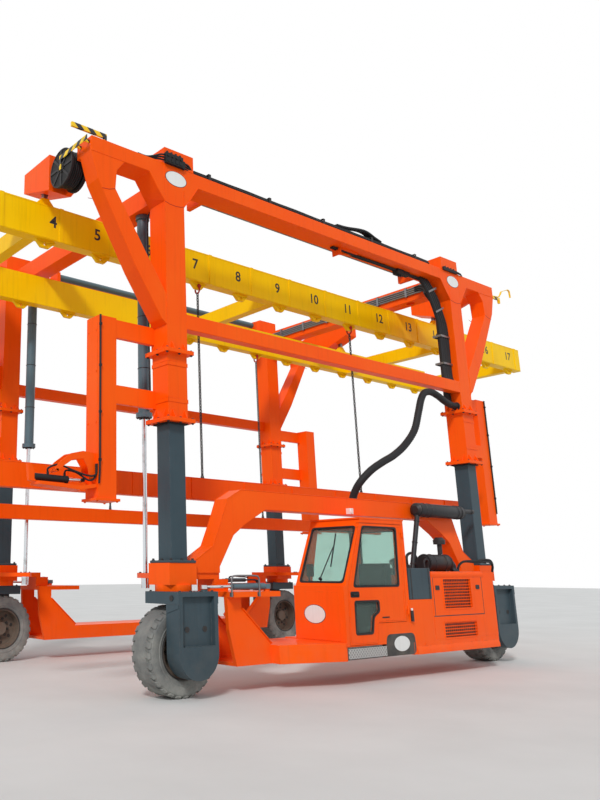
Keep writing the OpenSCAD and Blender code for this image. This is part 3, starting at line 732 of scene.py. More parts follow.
# lift cylinders: gland, bands and feed hose
for side, corner in (("near", corners[0]), ("far", corners[2])):
    x, y, up = 0.095, 0.643, (0, 0, 1)
    makePiece("lift_glands_" + side, "darkSteel", "upper_frame", dict(
        rings=[((x, y, 3.2485), up, 0.052, 0.012, 32, 8)]
        + [((x, y, z), up, 0.0765, 0.005, 36, 6) for z in (3.9, 4.6, 5.3)],
        boltRings=[((x, y, 3.2498), (0, 0, -1), 0.086, 8, 0.009)],
        boxes=[((0.075, 0.552, 3.34), (0.115, 0.5685, 3.4))],
        hoses=[([(x, 0.56, 3.37), (x, 0.53, 3.39), (0.1, 0.52, 3.55), (0.1, 0.535, 4.4), (0.1, 0.535, 5.4),
                 (0.1, 0.53, 5.96), (0.1, 0.45, 6.04)], 0.012)]), place=cornerPlace(corner))
print("corner pieces made")

# cab: glazing rubbers, wiper, door furniture and pressings
cab = dict(doorWindow=[(2.31, 1.165), (3.225, 1.165), (3.25, 1.905), (2.555, 1.905)],
           lowWindow=[(2.3, 0.6), (2.62, 0.6), (2.66, 0.8), (2.78, 0.86), (2.78, 0.985), (2.31, 0.985)],
           innerWindow=[(2.42, 1.18), (3.32, 1.18), (3.32, 1.9), (2.6, 1.9)],
           backWindow=rectangle(-0.6, 1.3, 0.0, 1.88), front=rectangle(-0.62, 0.52, 0.02, 1.1),
           door=[(2.17, 0.475), (2.2, 1.15), (2.503, 1.945), (3.362, 1.945), (3.33, 0.72), (2.755, 0.72),
                 (2.7, 0.475)])
screen = dict(run=0.35, rise=0.78, foot=2.15, sill=1.17, low=0.045, tall=0.69, left=-0.65, right=0.04)
screenWay = Vector((screen["run"], 0, screen["rise"])).normalized()
screenOut = Vector((-screenWay.z, 0, screenWay.x))
slope = screen["run"] / screen["rise"]
screenLow = Vector((screen["foot"] + slope * screen["low"], 0, screen["sill"] + screen["low"]))
screenTop = screen["tall"] * math.hypot(slope, 1)


def onScreen(y, up, out=0.0):
    # a place across and up the slanted windscreen
    spot = screenLow + screenWay * up + screenOut * out
    return Vector((spot.x, y, spot.z))


makePiece("door_rubbers", "hoseRubber", "door", dict(seals=[
    (cab["doorWindow"], facing(-0.706), (0, 0.02, 0)),
    (cab["lowWindow"], facing(-0.706), (0, 0.02, 0), 0.04)]), 0.003)
tip = onScreen(-0.4, 0.46, 0.03)
makePiece("cab_rubbers", "hoseRubber", "near_chassis", dict(
    seals=[(cab["innerWindow"], facing(0.105), (0, -0.018, 0)),
           (rectangle(screen["left"], 0.0, screen["right"], screenTop), lambda p: onScreen(p[0], p[1], 0.006),
            -screenOut * 0.018),
           (cab["backWindow"], lambda p: Vector((3.425, p[0], p[1])), (-0.018, 0, 0))],
    rods=[(onScreen(-0.3, 0.035), onScreen(-0.3, 0.035, 0.034), 0.02),
          (onScreen(-0.3, 0.035, 0.022), tip, 0.007, 10),
          (onScreen(-0.42, 0.2, 0.014), onScreen(-0.38, 0.66, 0.014), 0.009, 8),
          (onScreen(-0.4, 0.43, 0.012), tip, 0.008, 8)]), 0.003)
makePiece("door_handle", "hoseRubber", "door", dict(
    prisms=[roundPlate(rectangle(2.235, 1.035, 2.4, 1.105), 0.02, -0.7002, 0.006)],
    rods=[((2.26, -0.718, 1.068), (2.375, -0.718, 1.068), 0.01, 12)]
    + [((x, -0.705, 1.068), (x, -0.718, 1.068), 0.009, 12) for x in (2.262, 2.372)],
    boxes=[((2.83, -0.706, 0.775), (2.97, -0.7002, 0.79))]), 0.001)
makePiece("door_edge", "orangePaint", "door", dict(frames=[
    (rounded(grown(cab["door"], -0.03), 0.045), rounded(grown(cab["door"], -0.018), 0.05), facing(-0.7001),
     (0, -0.004, 0))]), 0.002)
makePiece("cab_pressings", "orangePaint", "near_chassis", dict(
    boxes=[((2.5, -0.706, 2.0003), (3.428, 0.104, 2.022)), ((2.52, -0.704, 1.958), (3.4, -0.7002, 1.972))],
    posts=[(2.128, -0.694, 0.5, 1.16, 0.007, 10), (3.405, -0.7005, 0.7, 1.93, 0.005, 10)],
    prisms=[([(2.1095, y, z) for y, z in rounded(cab["front"], 0.05)], (-0.003, 0, 0))]), 0.003)

# blank oval plates: centre, way it faces, half height, stretch
ovals = dict(blank_plates=("near_chassis", [((2.1062, -0.231, 0.826), (-1, 0, 0), 0.111, 1.5),
                                            ((3.187, -0.7042, 0.452), (0, -1, 0), 0.094, 1.75)]),
             blank_ovals=("upper_frame",
                          [((x, -0.1575, 6.235), (0, -1, 0), 0.1, 1.7) for x in (0.03, 6.265)]))


def ovalsOf(plates, grow, depth):
    def draw(bm):
        for centre, faces, size, stretch in plates:
            place = Matrix.Translation(centre) @ turnTo(faces) @ Matrix.Diagonal((stretch, 1, 1, 1))
            bmesh.ops.create_cone(bm, cap_ends=True, segments=48, radius1=size * grow,
                                  radius2=size * grow * 0.98, depth=depth, matrix=place)
    return draw


for name, (body, plates) in ovals.items():
    makePiece(name, "lampWhite", body, ovalsOf(plates, 1.0, 0.006), 0.001)
    makePiece(name + "_rims", "blackPaint", body, ovalsOf(plates, 1.05, 0.003), 0.001)

# tread plate on the step, and beside it a round-cornered flat black plate that paints the shade of the recess
# there
makePiece("tread_plate", "treadPlate", "near_chassis", dict(
    boxes=[((2.125, -0.7035, 0.322), (2.868, -0.7002, 0.44)),
           ((2.125, -0.7035, 0.4502), (2.775, -0.65, 0.454))],
    bolts=[((x, -0.7034, 0.38), (0, -1, 0), 0.008, 0.005) for x in (2.15, 2.5, 2.83)]), 0.001)
# painted shade: a thin black plate on the face where the recess is dark
makePiece("recess_shade_plate", "blackPaint", "near_chassis", dict(prisms=[
    roundPlate([(2.86, 0.312), (2.885, 0.575), (3.47, 0.575), (3.49, 0.312)], 0.08, -0.7001, 0.003, 7)]),
          0.001)


# seat cushions, with rounded crowns: corners, rise of the crown and the axis it rises along
seat = dict(cuts=5, pinch=0.05, seat_cushion=((2.875, -0.525, 0.9006), (3.19, -0.115, 0.965), 0.02, 2),
            seat_back=((3.15, -0.515, 0.995), (3.199, -0.125, 1.43), 0.0, 0))


def cushion(bm, low, high, rise, axis):
    addBox(bm, low, high)
    bmesh.ops.subdivide_edges(bm, edges=bm.edges, cuts=seat["cuts"], use_grid_fill=True)
    middle, half = (Vector(low) + Vector(high)) / 2, (Vector(high) - Vector(low)) / 2
    flat = [i for i in range(3) if i != axis]
    for v in bm.verts:
        rel = [(v.co[i] - middle[i]) / half[i] for i in range(3)]
        for i in flat:
            v.co[i] = middle[i] + rel[i] * half[i] * (1 - seat["pinch"] * rel[axis] ** 2)
        if rel[axis] > 0:
            v.co[axis] += rise * (1 - rel[flat[0]] ** 2) * (1 - rel[flat[1]] ** 2)


for name in ("seat_cushion", "seat_back"):
    piece = makePiece(name, "seatCloth", "near_chassis", lambda bm: cushion(bm, *seat[name]), smooth=60)
    rounder = piece.modifiers.new("softSubdivision", "SUBSURF")
    rounder.levels = 2
    rounder.render_levels = 2

# console with levers, dashboard and screen on its stalk
levers = [(2.98, -0.085), (3.05, -0.085)]
makePiece("cab_controls", "trimPlastic", "near_chassis", dict(
    rods=[((x, y, 0.905), (x - 0.02, y, 1.02), 0.007, 10) for x, y in levers],
    balls=[((x - 0.02, y, 1.03), 0.019) for x, y in levers],
    posts=[(2.33, 0.02, 1.0, 1.3, 0.01, 12)],
    boxes=[((2.88, -0.098, 0.62), (3.22, -0.055, 0.905)), ((2.285, -0.4, 1.0003), (2.4, -0.18, 1.035)),
           ((2.318, -0.06, 1.28), (2.34, 0.05, 1.44)), ((2.33, 0.0, 0.96), (2.4, 0.053, 1.0))]), 0.003)
print("cab pieces made")

# engine bay: mesh behind the louvres, flat black strips along the hatch seam and at its two ends that paint
# the shadow in those gaps, latches, and the bottle beside the door
bay = dict(grilles=[(4.227, 4.896, 0.855, 1.24), (4.175, 4.96, 0.475, 0.67)], wires=16, seam=0.76,
           bottle=(3.43, -0.722), gear=(4.86, -0.3), cleaner=(-0.33, 1.465))
gapShadeLow, gapShadeHigh = bay["seam"] - 0.006, bay["seam"] + 0.006
makePiece("bay_seam_shade", "blackPaint", "near_chassis", dict(
    boxes=[((x0 - 0.01, -0.669, z0 - 0.01), (x1 + 0.01, -0.665, z1 + 0.01))
           for x0, x1, z0, z1 in bay["grilles"]]
    # painted shadow: black strips for the shade in the hatch seam's gap and in the upright gaps at its ends
    + [((3.952, -0.7012, gapShadeLow), (5.19, -0.7002, gapShadeHigh))]
    + [((x - 0.005, -0.7012, gapShadeHigh + 0.001), (x + 0.005, -0.7002, 1.318)) for x in (3.985, 5.185)],
    prisms=[roundPlate(rectangle(x - 0.045, 1.1, x + 0.045, 1.16), 0.015, -0.7002, 0.007)
            for x in (4.08, 5.07)],
    posts=[(*bay["bottle"], 0.714, 0.85, 0.021, 16)]), 0.001)
makePiece("bay_frames", "orangePaint", "near_chassis", dict(
    frames=[(rounded(rectangle(x0, z0, x1, z1), 0.015),
             rounded(rectangle(x0 - 0.02, z0 - 0.02, x1 + 0.02, z1 + 0.02), 0.02), facing(-0.7002),
             (0, -0.005, 0))
            for x0, x1, z0, z1 in bay["grilles"]],
    boxes=[((x - 0.0025, -0.7, z0), (x + 0.0025, -0.6965, z1)) for x0, x1, z0, z1 in bay["grilles"]
           for x in (x0 + (x1 - x0) * k / bay["wires"] for k in range(1, bay["wires"]))]), 0.001)
makePiece("tank_fittings", "darkSteel", "near_chassis", dict(
    posts=[(3.62, -0.5, 1.3902, 1.425, 0.055, 28, 0.05), (3.62, -0.5, 1.425, 1.44, 0.03, 20, 0.026),
           (3.84, -0.45, 1.3902, 1.44, 0.022, 18, 0.018)],
    boxes=[((x - 0.012, -0.7035, low), (x + 0.012, y, high)) for x in (3.5, 3.9)
           for low, y, high in ((0.99, -0.7002, 1.385), (1.3902, -0.31, 1.3935))]), 0.002)

# open gear above the cover: cleaner bands, intake bend and cap, filters and pipes
y, z = bay["cleaner"]
makePiece("bay_gear", "darkSteel", "near_chassis", dict(
    rings=[((x, y, z), (1, 0, 0), 0.1215, 0.006, 36, 6) for x in (4.4, 4.53, 4.79, 4.92)],
    rods=[((x - 0.01, y, z), (x + 0.01, y, z), 0.1, 36) for x in (4.372, 4.948)],
    posts=[(4.05, -0.1, 1.3352, 1.5, 0.055, 28), (4.05, -0.1, 1.5, 1.53, 0.062, 28, 0.045),
           (4.62, -0.05, 1.3352, 1.47, 0.065, 28), (4.8, -0.02, 1.3352, 1.43, 0.05, 28),
           (*bay["gear"], 1.59, 1.74, 0.034, 24), (*bay["gear"], 1.735, 1.795, 0.082, 32, 0.086),
           (*bay["gear"], 1.795, 1.835, 0.086, 32, 0.05)],
    boxes=[((4.38, -0.12, 1.3352), (4.5, 0.06, 1.42))],
    hoses=[([(4.955, y, z), (5.03, y, 1.47), (5.09, y, 1.43), (5.1, -0.345, 1.36), (5.1, -0.42, 1.3)],
            0.052, 6, 20),
           ([(4.62, -0.05, 1.46), (4.62, -0.05, 1.56), (4.55, -0.02, 1.61), (4.44, -0.02, 1.56),
             (4.44, -0.02, 1.415)], 0.02, 6, 12),
           ([(4.05, -0.1, 1.49), (4.06, -0.02, 1.5), (4.15, 0.05, 1.46), (4.3, 0.04, 1.4),
             (4.395, 0.0, 1.38)],
            0.018, 6, 12),
           ([(4.25, -0.42, 1.3352), (4.25, -0.42, 1.44), (4.262, -0.42, 1.492), (4.31, -0.415, 1.512),
             (4.358, -0.41, 1.492), (4.37, -0.405, 1.44), (4.372, -0.4, 1.34)], 0.014, 6, 12)]), 0.002)
makePiece("foot_loops", "hoseRubber", "near_chassis", dict(
    hoses=[([(5.18, -0.36, 1.3405), (5.2, -0.372, 1.43), (5.33, -0.385, 1.49), (5.62, -0.4, 1.5 - 0.02 * k),
             (5.86, -0.4, 1.52 - 0.03 * k), (6.05, -0.385, 1.51 - 0.03 * k), (6.15, -0.36, 1.44 - 0.02 * k),
             (6.17, -0.33, 1.34)], 0.017) for k in range(2)]))

# exhaust: clamps and end cones of the silencer, clamps up the slanted riser and along the tail pipe
exhaust = dict(y=-0.235, middle=2.23, tail=2.26, foot=(4.23, -0.235, 1.355), slant=math.radians(17))
riserWay = Vector((math.sin(exhaust["slant"]), 0, math.cos(exhaust["slant"])))
y, z = exhaust["y"], exhaust["middle"]
makePiece("exhaust_clamps", "darkSteel", "near_chassis", dict(
    rods=[((x, y, z), (x + out, y, z), 0.098, 36, 0.055) for x, out in ((4.455, -0.03), (5.6, 0.03))],
    rings=[((x, y, z), (1, 0, 0), 0.1015, 0.005, 40, 6) for x in (4.6, 4.73, 5.43, 5.52)]
    + [(Vector(exhaust["foot"]) + riserWay * reach, riserWay, 0.0365, 0.006, 28, 8)
       for reach in (0.1, 0.42, 0.74)]
    + [((x, y, exhaust["tail"]), (1, 0, 0), 0.0365, 0.005, 28, 6) for x in (5.66, 5.9)]))
makePiece("lamp_rings", "lampWhite", "near_chassis", dict(
    rings=[((3.04, -0.1815, 2.15), (0, 1, 0), 0.03, 0.006, 28, 8)],
    posts=[(*bay["bottle"], 0.85, 0.88, 0.014, 16)],
    rods=[((3.04, -0.1802, 2.15), (3.04, -0.186, 2.15), 0.026, 28, 0.022)]), 0.002)

# grab rail on the left shelf
rail = dict(y=-0.4315,
            line=[(0.5, 1.068), (0.5, 1.24), (0.512, 1.278), (0.55, 1.297), (0.72, 1.3), (0.89, 1.297),
                  (0.928, 1.278), (0.94, 1.24), (0.94, 1.068)])
makePiece("shelf_rail", "bareSteel", "near_chassis", dict(
    hoses=[([(x, rail["y"], z) for x, z in rail["line"]], 0.0105, 5, 12)],
    boxes=[((x - 0.024, -0.4245, 1.066), (x + 0.024, -0.4202, 1.114)) for x in (0.5, 0.94)]))

# steering hoses from the barrel at one end to the shelf column at the other, drawn in one fixed shape at each
# corner
steerHoses = dict(fixed=(0.80, -0.14, 1.236), turning=(1.01, -0.33, 1.245), radius=0.009, apart=0.028,
                  line=[(1.02, -0.345, 1.216), (1.01, -0.33, 1.245), (0.95, -0.29, 1.252), (0.86, -0.2, 1.24),
                        (0.8, -0.14, 1.236), (0.7604, -0.09, 1.228)])
hosePair = dict(hoses=[([(x, y + off, z) for x, y, z in steerHoses["line"]], steerHoses["radius"])
                       for off in (0.0, steerHoses["apart"])])
for corner in corners:
    place = cornerPlace(corner)
    hoses = makePiece("steer_hoses_" + corner[0], "hoseRubber", None, hosePair, place=place)
    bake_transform(hoses)

# near side: seams and plugs of the pan, lip of the cover, and weld beads round the arch
side = dict(pan=(3.5, 5.478, [(-0.7002, 0.3), (-0.7002, 0.398), (-0.7195, 0.345), (-0.7195, 0.3)]),
            lip=(3.956, 5.236, [(-0.7002, 1.262), (-0.706, 1.27), (-0.708, 1.31), (-0.702, 1.332),
                                (-0.69, 1.343), (-0.655, 1.346), (-0.655, 1.3354), (-0.7002, 1.3354)]),
            arch=[(0.25, 1.48), (0.52, 1.64), (0.66, 1.93), (0.78, 2.21), (1.01, 2.33)])
archBack = [(machine["wheelbase"] - x, z) for x, z in reversed(side["arch"])]
makePiece("side_seams", "orangePaint", "near_chassis", dict(
    beads=[((x, -0.7005, 0.305), (x, -0.7005, 0.455), 0.004) for x in (3.445, 5.055)]
    + beadsOn([-0.1205, 0.1005], [side["arch"] + archBack]),
    prisms=[([(left, y, z) for y, z in shape], (right - left, 0, 0))
            for left, right, shape in (side["pan"], side["lip"])],
    rods=[((x, -0.7002, 0.425), (x, -0.706, 0.425), 0.016) for x in (3.7, 4.9)]))


def vFlanges(bm):
    top, foot = Vector((0.77, 0, 0.93)), Vector((1.23, 0, 0.52))
    up = Vector((top.z - foot.z, 0, foot.x - top.x)).normalized() * 0.012
    for y in (-0.3, 0.25):
        near, far = Vector((0, y - 0.02, 0)) + up * 0.02, Vector((0, y + 0.07, 0)) + up * 0.02
        addPrism(bm, [top + near, foot + near, foot + far, top + far], up)


perCorner("v_flanges", "orangePaint", "side", vFlanges, 0.002)
print("bay and side pieces made")

# top of the near beam: hoses in clamps
beam = dict(top=6.4104, left=0.345, right=5.62, bends=16, sway=0.003, clamps=5, firstClamp=0.62, apart=1.15,
            rows=[(-0.134, 0.0, 0.020), (-0.088, 0.0, 0.022), (-0.040, 0.0, 0.020), (0.010, 0.0, 0.018),
                  (-0.114, 0.036, 0.019), (-0.066, 0.038, 0.019)])


def beamHoses(bm):
    for y, lift, radius in beam["rows"]:
        z = beam["top"] + lift + radius
        points = [(beam["left"], y, z)]
        for k in range(beam["bends"]):
            x = beam["left"] + (beam["right"] - beam["left"]) * (k + 1) / beam["bends"]
            sway = beam["sway"] * (1 if (k + int(radius * 1000)) % 3 else -1)
            points.append((x, y + sway, z + beam["sway"]))
        addHose(bm, points, radius, 4)


makePiece("beam_hoses", "hoseRubber", "upper_frame", beamHoses)
clampBoxes = [((-0.028, -0.1572, 6.4102), (0.028, 0.044, 6.4142)),
              ((-0.022, -0.1571, 6.4142), (0.022, -0.1541, 6.491)),
              ((-0.022, 0.0395, 6.4142), (0.022, 0.0425, 6.491)),
              ((-0.022, -0.1571, 6.491), (0.022, 0.0425, 6.4945))]
makePiece("hose_clamps", "darkSteel", "upper_frame", dict(
    boxes=[((x + x0, y0, z0), (x + x1, y1, z1))
           for x in (beam["firstClamp"] + beam["apart"] * k for k in range(beam["clamps"]))
           for (x0, y0, z0), (x1, y1, z1) in clampBoxes]), 0.001)

# bundles down the right mast, the two hoses over the head, and branches to the pipes on the cross beam
bundle = dict(first=5.912, apart=0.062, count=4, radius=0.0305,
              line=[(-0.385, 0.014, 6.2), (-0.345, -0.016, 6.12), (-0.215, -0.036, 5.9),
                    (-0.075, -0.036, 5.62), (0.0, -0.036, 5.36), (0.002, -0.036, 4.9),
                    (-0.004, -0.036, 4.56), (0.004, -0.056, 4.445)])
makePiece("mast_hoses", "hoseRubber", "upper_frame", dict(
    hoses=[([(bundle["first"] + bundle["apart"] * k + x, y, z) for x, y, z in bundle["line"]],
            bundle["radius"], 6, 12)
           for k in range(bundle["count"])]
    + [([(x, 0.04, 5.695), (x, 0.04, 5.8), (x - 0.06, 0.045, 5.95), (x - 0.2, 0.06, 6.1),
         (x - 0.34, 0.08, 6.19)],
        0.032, 6, 14) for x in (6.095, 6.0195)]
    + [([(6.048, 0.44, 6.262 - 0.036 * k), (6.03, 0.34, 6.262 - 0.036 * k), (5.94, 0.2, 6.2 - 0.05 * k),
         (5.82 - 0.02 * k, 0.08, 6.09 - 0.06 * k), (5.8, 0.01, 5.93 - 0.05 * k), (5.845, -0.01, 5.74)], 0.02)
       for k in range(3)]))
strapAlong = Vector((0.45, 0, -0.89)).normalized() * 0.032
strapAcross = Vector((0.89, 0, 0.45)).normalized() * 0.262
makePiece("bundle_bands", "bareSteel", "upper_frame", dict(
    boxes=[((x0, y0, z), (x1, y1, z + 0.034)) for z in (4.72, 5.2) for x0, y0, x1, y1 in (
        (5.872, -0.0725, 6.1332, -0.068), (5.872, 0.08, 6.1332, 0.084), (5.872, -0.0725, 5.877, 0.084))],
    bolts=[((5.871, 0.005, z), (-1, 0, 0), 0.009, 0.01) for z in (4.737, 5.217)],
    prisms=[([start, start + strapAcross, start + strapAcross + strapAlong, start + strapAlong],
             (0, 0.0045, 0))
            for start in (Vector((5.795, -0.0725, 5.63)), Vector((5.64, -0.0725, 5.96)))]))
makePiece("bundle_straps", "darkSteel", "upper_frame", dict(
    rings=[((6.118, -0.062, 4.02), (1, 0, 0), 0.06, 0.01, 32, 8)]))
makePiece("hose_cuff", "darkSteel", "near_chassis", dict(
    rings=[((3.3, -0.01, 2.34), (0, 0, 1), 0.06, 0.01, 32, 8)],
    boltRings=[((3.3, -0.01, 2.3302), (0, 0, 1), 0.085, 6, 0.009)]))

# hose reel at the left head: two layers of turns, spokes and bosses, and its lead to the beam
reel = dict(y=0.42, z=6.215, pitch=0.029, spokes=8,
            layers=[(-1.292, 6, 0.194, 0.001), (-1.278, 5, 0.2195, 0.0)],
            lead=[(-1.2, 0.44, 6.41), (-1.13, 0.34, 6.452), (-0.9, 0.16, 6.456), (-0.6, 0.1, 6.455),
                  (-0.3, 0.06, 6.455)])
makePiece("reel_windings", "hoseRubber", "upper_frame", dict(
    rings=[((x + reel["pitch"] * k, reel["y"], reel["z"]), (1, 0, 0), radius + wave * (k % 2), 0.0143, 40, 8)
           for x, count, radius, wave in reel["layers"] for k in range(count)]))


def reelSpokes(bm):
    for x, way in ((-1.3402, -1), (-1.0998, 1)):
        centre, face = Vector((x, reel["y"], reel["z"])), Vector((x + way * 0.014, reel["y"], reel["z"]))
        for k in range(reel["spokes"]):
            spoke = bmesh.new()
            addBox(spoke, (min(0, way * 0.01), 0.06, -0.014), (max(0, way * 0.01), 0.245, 0.014))
            turn = Matrix.Rotation(math.tau * k / reel["spokes"], 4, "X")
            addShape(bm, spoke, Matrix.Translation(centre) @ turn)
        addRod(bm, centre, face, 0.07, 32)
        addRing(bm, centre, (1, 0, 0), 0.247, 0.009, 48, 8)
        boltRing(bm, face, (way, 0, 0), 0.05, 6, 0.008)
    addHose(bm, reel["lead"], 0.016)


makePiece("reel_spokes", "darkSteel", "upper_frame", reelSpokes)
print("portal pieces made")

# spreader: numerals, lug rings, end and edge trim, shackles and chains
spreader = dict(near=0.95, far=3.35, lugY=(1.03, 3.27), pitch=0.87, count=17, hole=5.44, half=7.335,
                chainLugs=(7, 11), chainTop=5.318, chainFeet=(2.64, 2.35))
numeral = dict(size=0.225, z=5.675, shift=-0.1, moved={4: 0.08}, extrude=0.0006, offset=0.004)


def lugAt(number):
    return halfBase + (number - 9) * spreader["pitch"]


def addText(bm, words, place, turn):
    curve = bpy.data.curves.new("numeral", "FONT")
    curve.body = words
    curve.size = numeral["size"]
    curve.align_x = "CENTER"
    curve.extrude = numeral["extrude"]
    curve.offset = numeral["offset"]
    curve.resolution_u = 3
    holder = bpy.data.objects.new("numeral", curve)
    shape = bpy.data.meshes.new_from_object(holder)
    upright = Matrix.Rotation(turn, 4, "Z") @ Matrix.Rotation(math.pi / 2, 4, "X")
    shape.transform(Matrix.Translation(place) @ upright)
    bm.from_mesh(shape)
    bpy.data.objects.remove(holder)
    bpy.data.curves.remove(curve)
    bpy.data.meshes.remove(shape)


def spreaderNumerals(bm):
    for number in range(1, spreader["count"] + 1):
        shift = numeral["moved"].get(number, numeral["shift"])
        addText(bm, str(number), (lugAt(number) + shift, spreader["near"] - 0.0005, numeral["z"]), 0.0)
        addText(bm, str(number), (lugAt(number) + 0.1, spreader["far"] + 0.0005, numeral["z"]), math.pi)


makePiece("spreader_numerals", "blackPaint", "spreader", spreaderNumerals, clean=False)
left, right = halfBase - spreader["half"], halfBase + spreader["half"]
makePiece("spreader_trim", "yellowPaint", "spreader", dict(
    rings=[((lugAt(number), y + off, spreader["hole"]), (0, 1, 0), 0.03, 0.006, 18, 6)
           for number in range(1, spreader["count"] + 1) for y in spreader["lugY"]
           for off in (-0.025, 0.025)],
    boxes=[((x, y - 0.0804, z), (x + 0.012, y + 0.0804, z + 0.012))
           for x in (left, right - 0.012) for y in spreader["lugY"] for z in (5.4896, 5.9534)]
    + [((x - 0.035, y, 5.9655), (x + 0.035, y + 0.012, 6.055))
       for x in (-1.22, 7.51) for y in (0.988, 1.06, 3.228, 3.3)],
    beads=beadsOn([0.9495, 3.3505], [[(left + 0.005, z), (right - 0.005, z)] for z in (5.505, 5.945)],
                  0.004)), 0.0015)

# shackles: half of the bow's outline, from the pin down
bow = [(0.042, 5.448), (0.046, 5.41), (0.044, 5.375), (0.026, 5.345)]
bow = [(-y, z) for y, z in bow] + [(0.0, 5.336)] + bow[::-1]
chainPlaces = [(lugAt(number), y, foot) for number in spreader["chainLugs"]
               for y, foot in zip(spreader["lugY"], spreader["chainFeet"])]
makePiece("chain_shackles", "redCable", "spreader", dict(
    rods=[((x, y - 0.058, spreader["hole"]), (x, y + 0.058, spreader["hole"]), 0.0195, 18)
          for x, y, _ in chainPlaces],
    hoses=[([(x, y + off, z) for off, z in bow], 0.0125, 3) for x, y, _ in chainPlaces],
    rings=[((x, y + off, spreader["hole"]), (0, 1, 0), 0.024, 0.011, 18, 8)
           for x, y, _ in chainPlaces for off in (-0.042, 0.042)]))

link = dict(pitch=0.048, wire=0.0078, wide=0.0135, half=0.01302, sides=5)


def addLink(bm, centre, turn):
    # one stadium shaped link standing upright
    out = Vector((0, 1, 0))
    path = [Vector((link["wide"] * math.cos(math.pi * (end + k / 4)), 0,
                    (-1) ** end * link["half"] + link["wide"] * math.sin(math.pi * (end + k / 4))))
            for end in (0, 1) for k in range(5)]
    spin = Matrix.Translation(centre) @ Matrix.Rotation(turn, 4, "Z")
    rings = []
    for i, point in enumerate(path):
        side = (path[(i + 1) % len(path)] - path[i - 1]).normalized().cross(out)
        places = [point + a * side + b * out for a, b in roundAbout(link["sides"], link["wire"])]
        rings.append([bm.verts.new(spin @ p) for p in places])
    for i, ring in enumerate(rings):
        for k in range(link["sides"]):
            bm.faces.new((rings[i - 1][k - 1], rings[i - 1][k], ring[k], ring[k - 1]))


def loadChains(bm):
    for x, y, foot in chainPlaces:
        count = int((spreader["chainTop"] - foot) / (link["pitch"] * 0.86))
        for k in range(count + 1):
            addLink(bm, (x, y, foot + (spreader["chainTop"] - foot) / count * k), math.pi / 2 * (k % 2))
        # eye and plate at the lower beam
        addRing(bm, (x, y, foot - 0.024), (1, 0, 0) if count % 2 else (0, 1, 0), 0.022, 0.009, 18, 8)
        addPost(bm, x, y, foot - 0.0402, foot - 0.036, 0.045, 24)


chains = makePiece("spreader_chains", "darkSteel", "spreader", loadChains, smooth=60, clean=False)
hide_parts("load_chains")
print("spreader pieces made")

# lower beams: lips, stiffeners and end plates; each row: underside, top, outer face and the way it looks
lowBeam = dict(left=halfBase - 5.15, right=halfBase + 5.15, width=0.14, stiffeners=11,
               rows=[(2.3, 2.6, 0.96, -1), (2.1, 2.31, 3.34, 1)])


def lowerTrim(bm):
    for low, high, face, way in lowBeam["rows"]:
        for k in range(lowBeam["stiffeners"]):
            x = lowBeam["left"] + 0.15 + k
            y0, y1 = sorted((face + way * 0.0005, face + way * 0.012))
            addBox(bm, (x - 0.006, y0, low + 0.012), (x + 0.006, y1, high - 0.012))
        for z in (low + 0.006, high - 0.006):
            weldBead(bm, (lowBeam["left"] + 0.01, face, z), (lowBeam["right"] - 0.01, face, z), 0.0045)
        y0, y1 = sorted((face, face - way * lowBeam["width"]))
        for x in (lowBeam["left"], lowBeam["right"] - 0.012):
            addBox(bm, (x - 0.0002, y0 - 0.01, low - 0.008), (x + 0.012, y1 + 0.01, high + 0.008))


makePiece("lower_beam_trim", "orangePaint", "spreader", lowerTrim, 0.0015)

# arm, cylinder and hoses at the foot of the near left post: place across and depth of each plate of the arm
postFoot = dict(y=0.215, plates=[
    (0.14, 0.014, [(-0.9812, 2.64), (-1.15, 2.655), (-1.31, 2.615), (-1.44, 2.52), (-1.52, 2.43),
                   (-1.47, 2.4), (-1.4, 2.47), (-1.29, 2.545), (-1.15, 2.57), (-1.09, 2.48), (-1.06, 2.33),
                   (-0.9812, 2.3)]),
    (0.11, 0.21, [(-0.9812, 2.3), (-0.9812, 2.255), (-1.2, 2.215), (-1.72, 2.25), (-1.72, 2.282),
                  (-1.2, 2.262)]),
    (0.19, 0.05, [(-1.72, 2.282), (-1.8, 2.29), (-1.82, 2.47), (-1.77, 2.48), (-1.735, 2.38)])])
postFoot["plates"].append((0.276, *postFoot["plates"][0][1:]))
y = postFoot["y"]
makePiece("post_foot_arm", "orangePaint", "upper_frame", dict(
    prisms=[([(x, start, z) for x, z in outline], (0, depth, 0))
            for start, depth, outline in postFoot["plates"]],
    boxes=[((-1.5, 0.14, 2.405), (-1.462, 0.29, 2.435))]), 0.003)
makePiece("post_foot_cylinder", "hoseRubber", "upper_frame", dict(
    rods=[((-1.735, y, 2.338), (-1.32, y, 2.33), 0.038, 28), ((-1.775, y, 2.339), (-1.735, y, 2.338), 0.02),
          ((-1.335, y, 2.33), (-1.31, y, 2.33), 0.042, 28),
          ((-1.12, 0.18, 2.335), (-1.12, 0.25, 2.335), 0.022)],
    posts=[(-1.56, y, 2.372, 2.4, 0.014, 12), (-1.345, y, 2.365, 2.4, 0.014, 12)],
    hoses=[([(-1.56, y, 2.395), (-1.56, 0.2, 2.44), (-1.45, 0.165, 2.48), (-1.28, 0.15, 2.43),
             (-1.1, 0.12, 2.38), (-1.0, 0.11, 2.4), (-0.99, 0.105, 2.52)], 0.011, 6, 8),
           ([(-1.345, y, 2.395), (-1.33, 0.2, 2.43), (-1.22, 0.17, 2.41), (-1.08, 0.13, 2.33),
             (-1.0, 0.12, 2.38), (-0.99, 0.125, 2.52)], 0.011, 6, 8)]))
makePiece("post_foot_rod", "chromeRod", "upper_frame", dict(
    rods=[((-1.322, y, 2.33), (-1.13, y, 2.334), 0.019, 24)]))

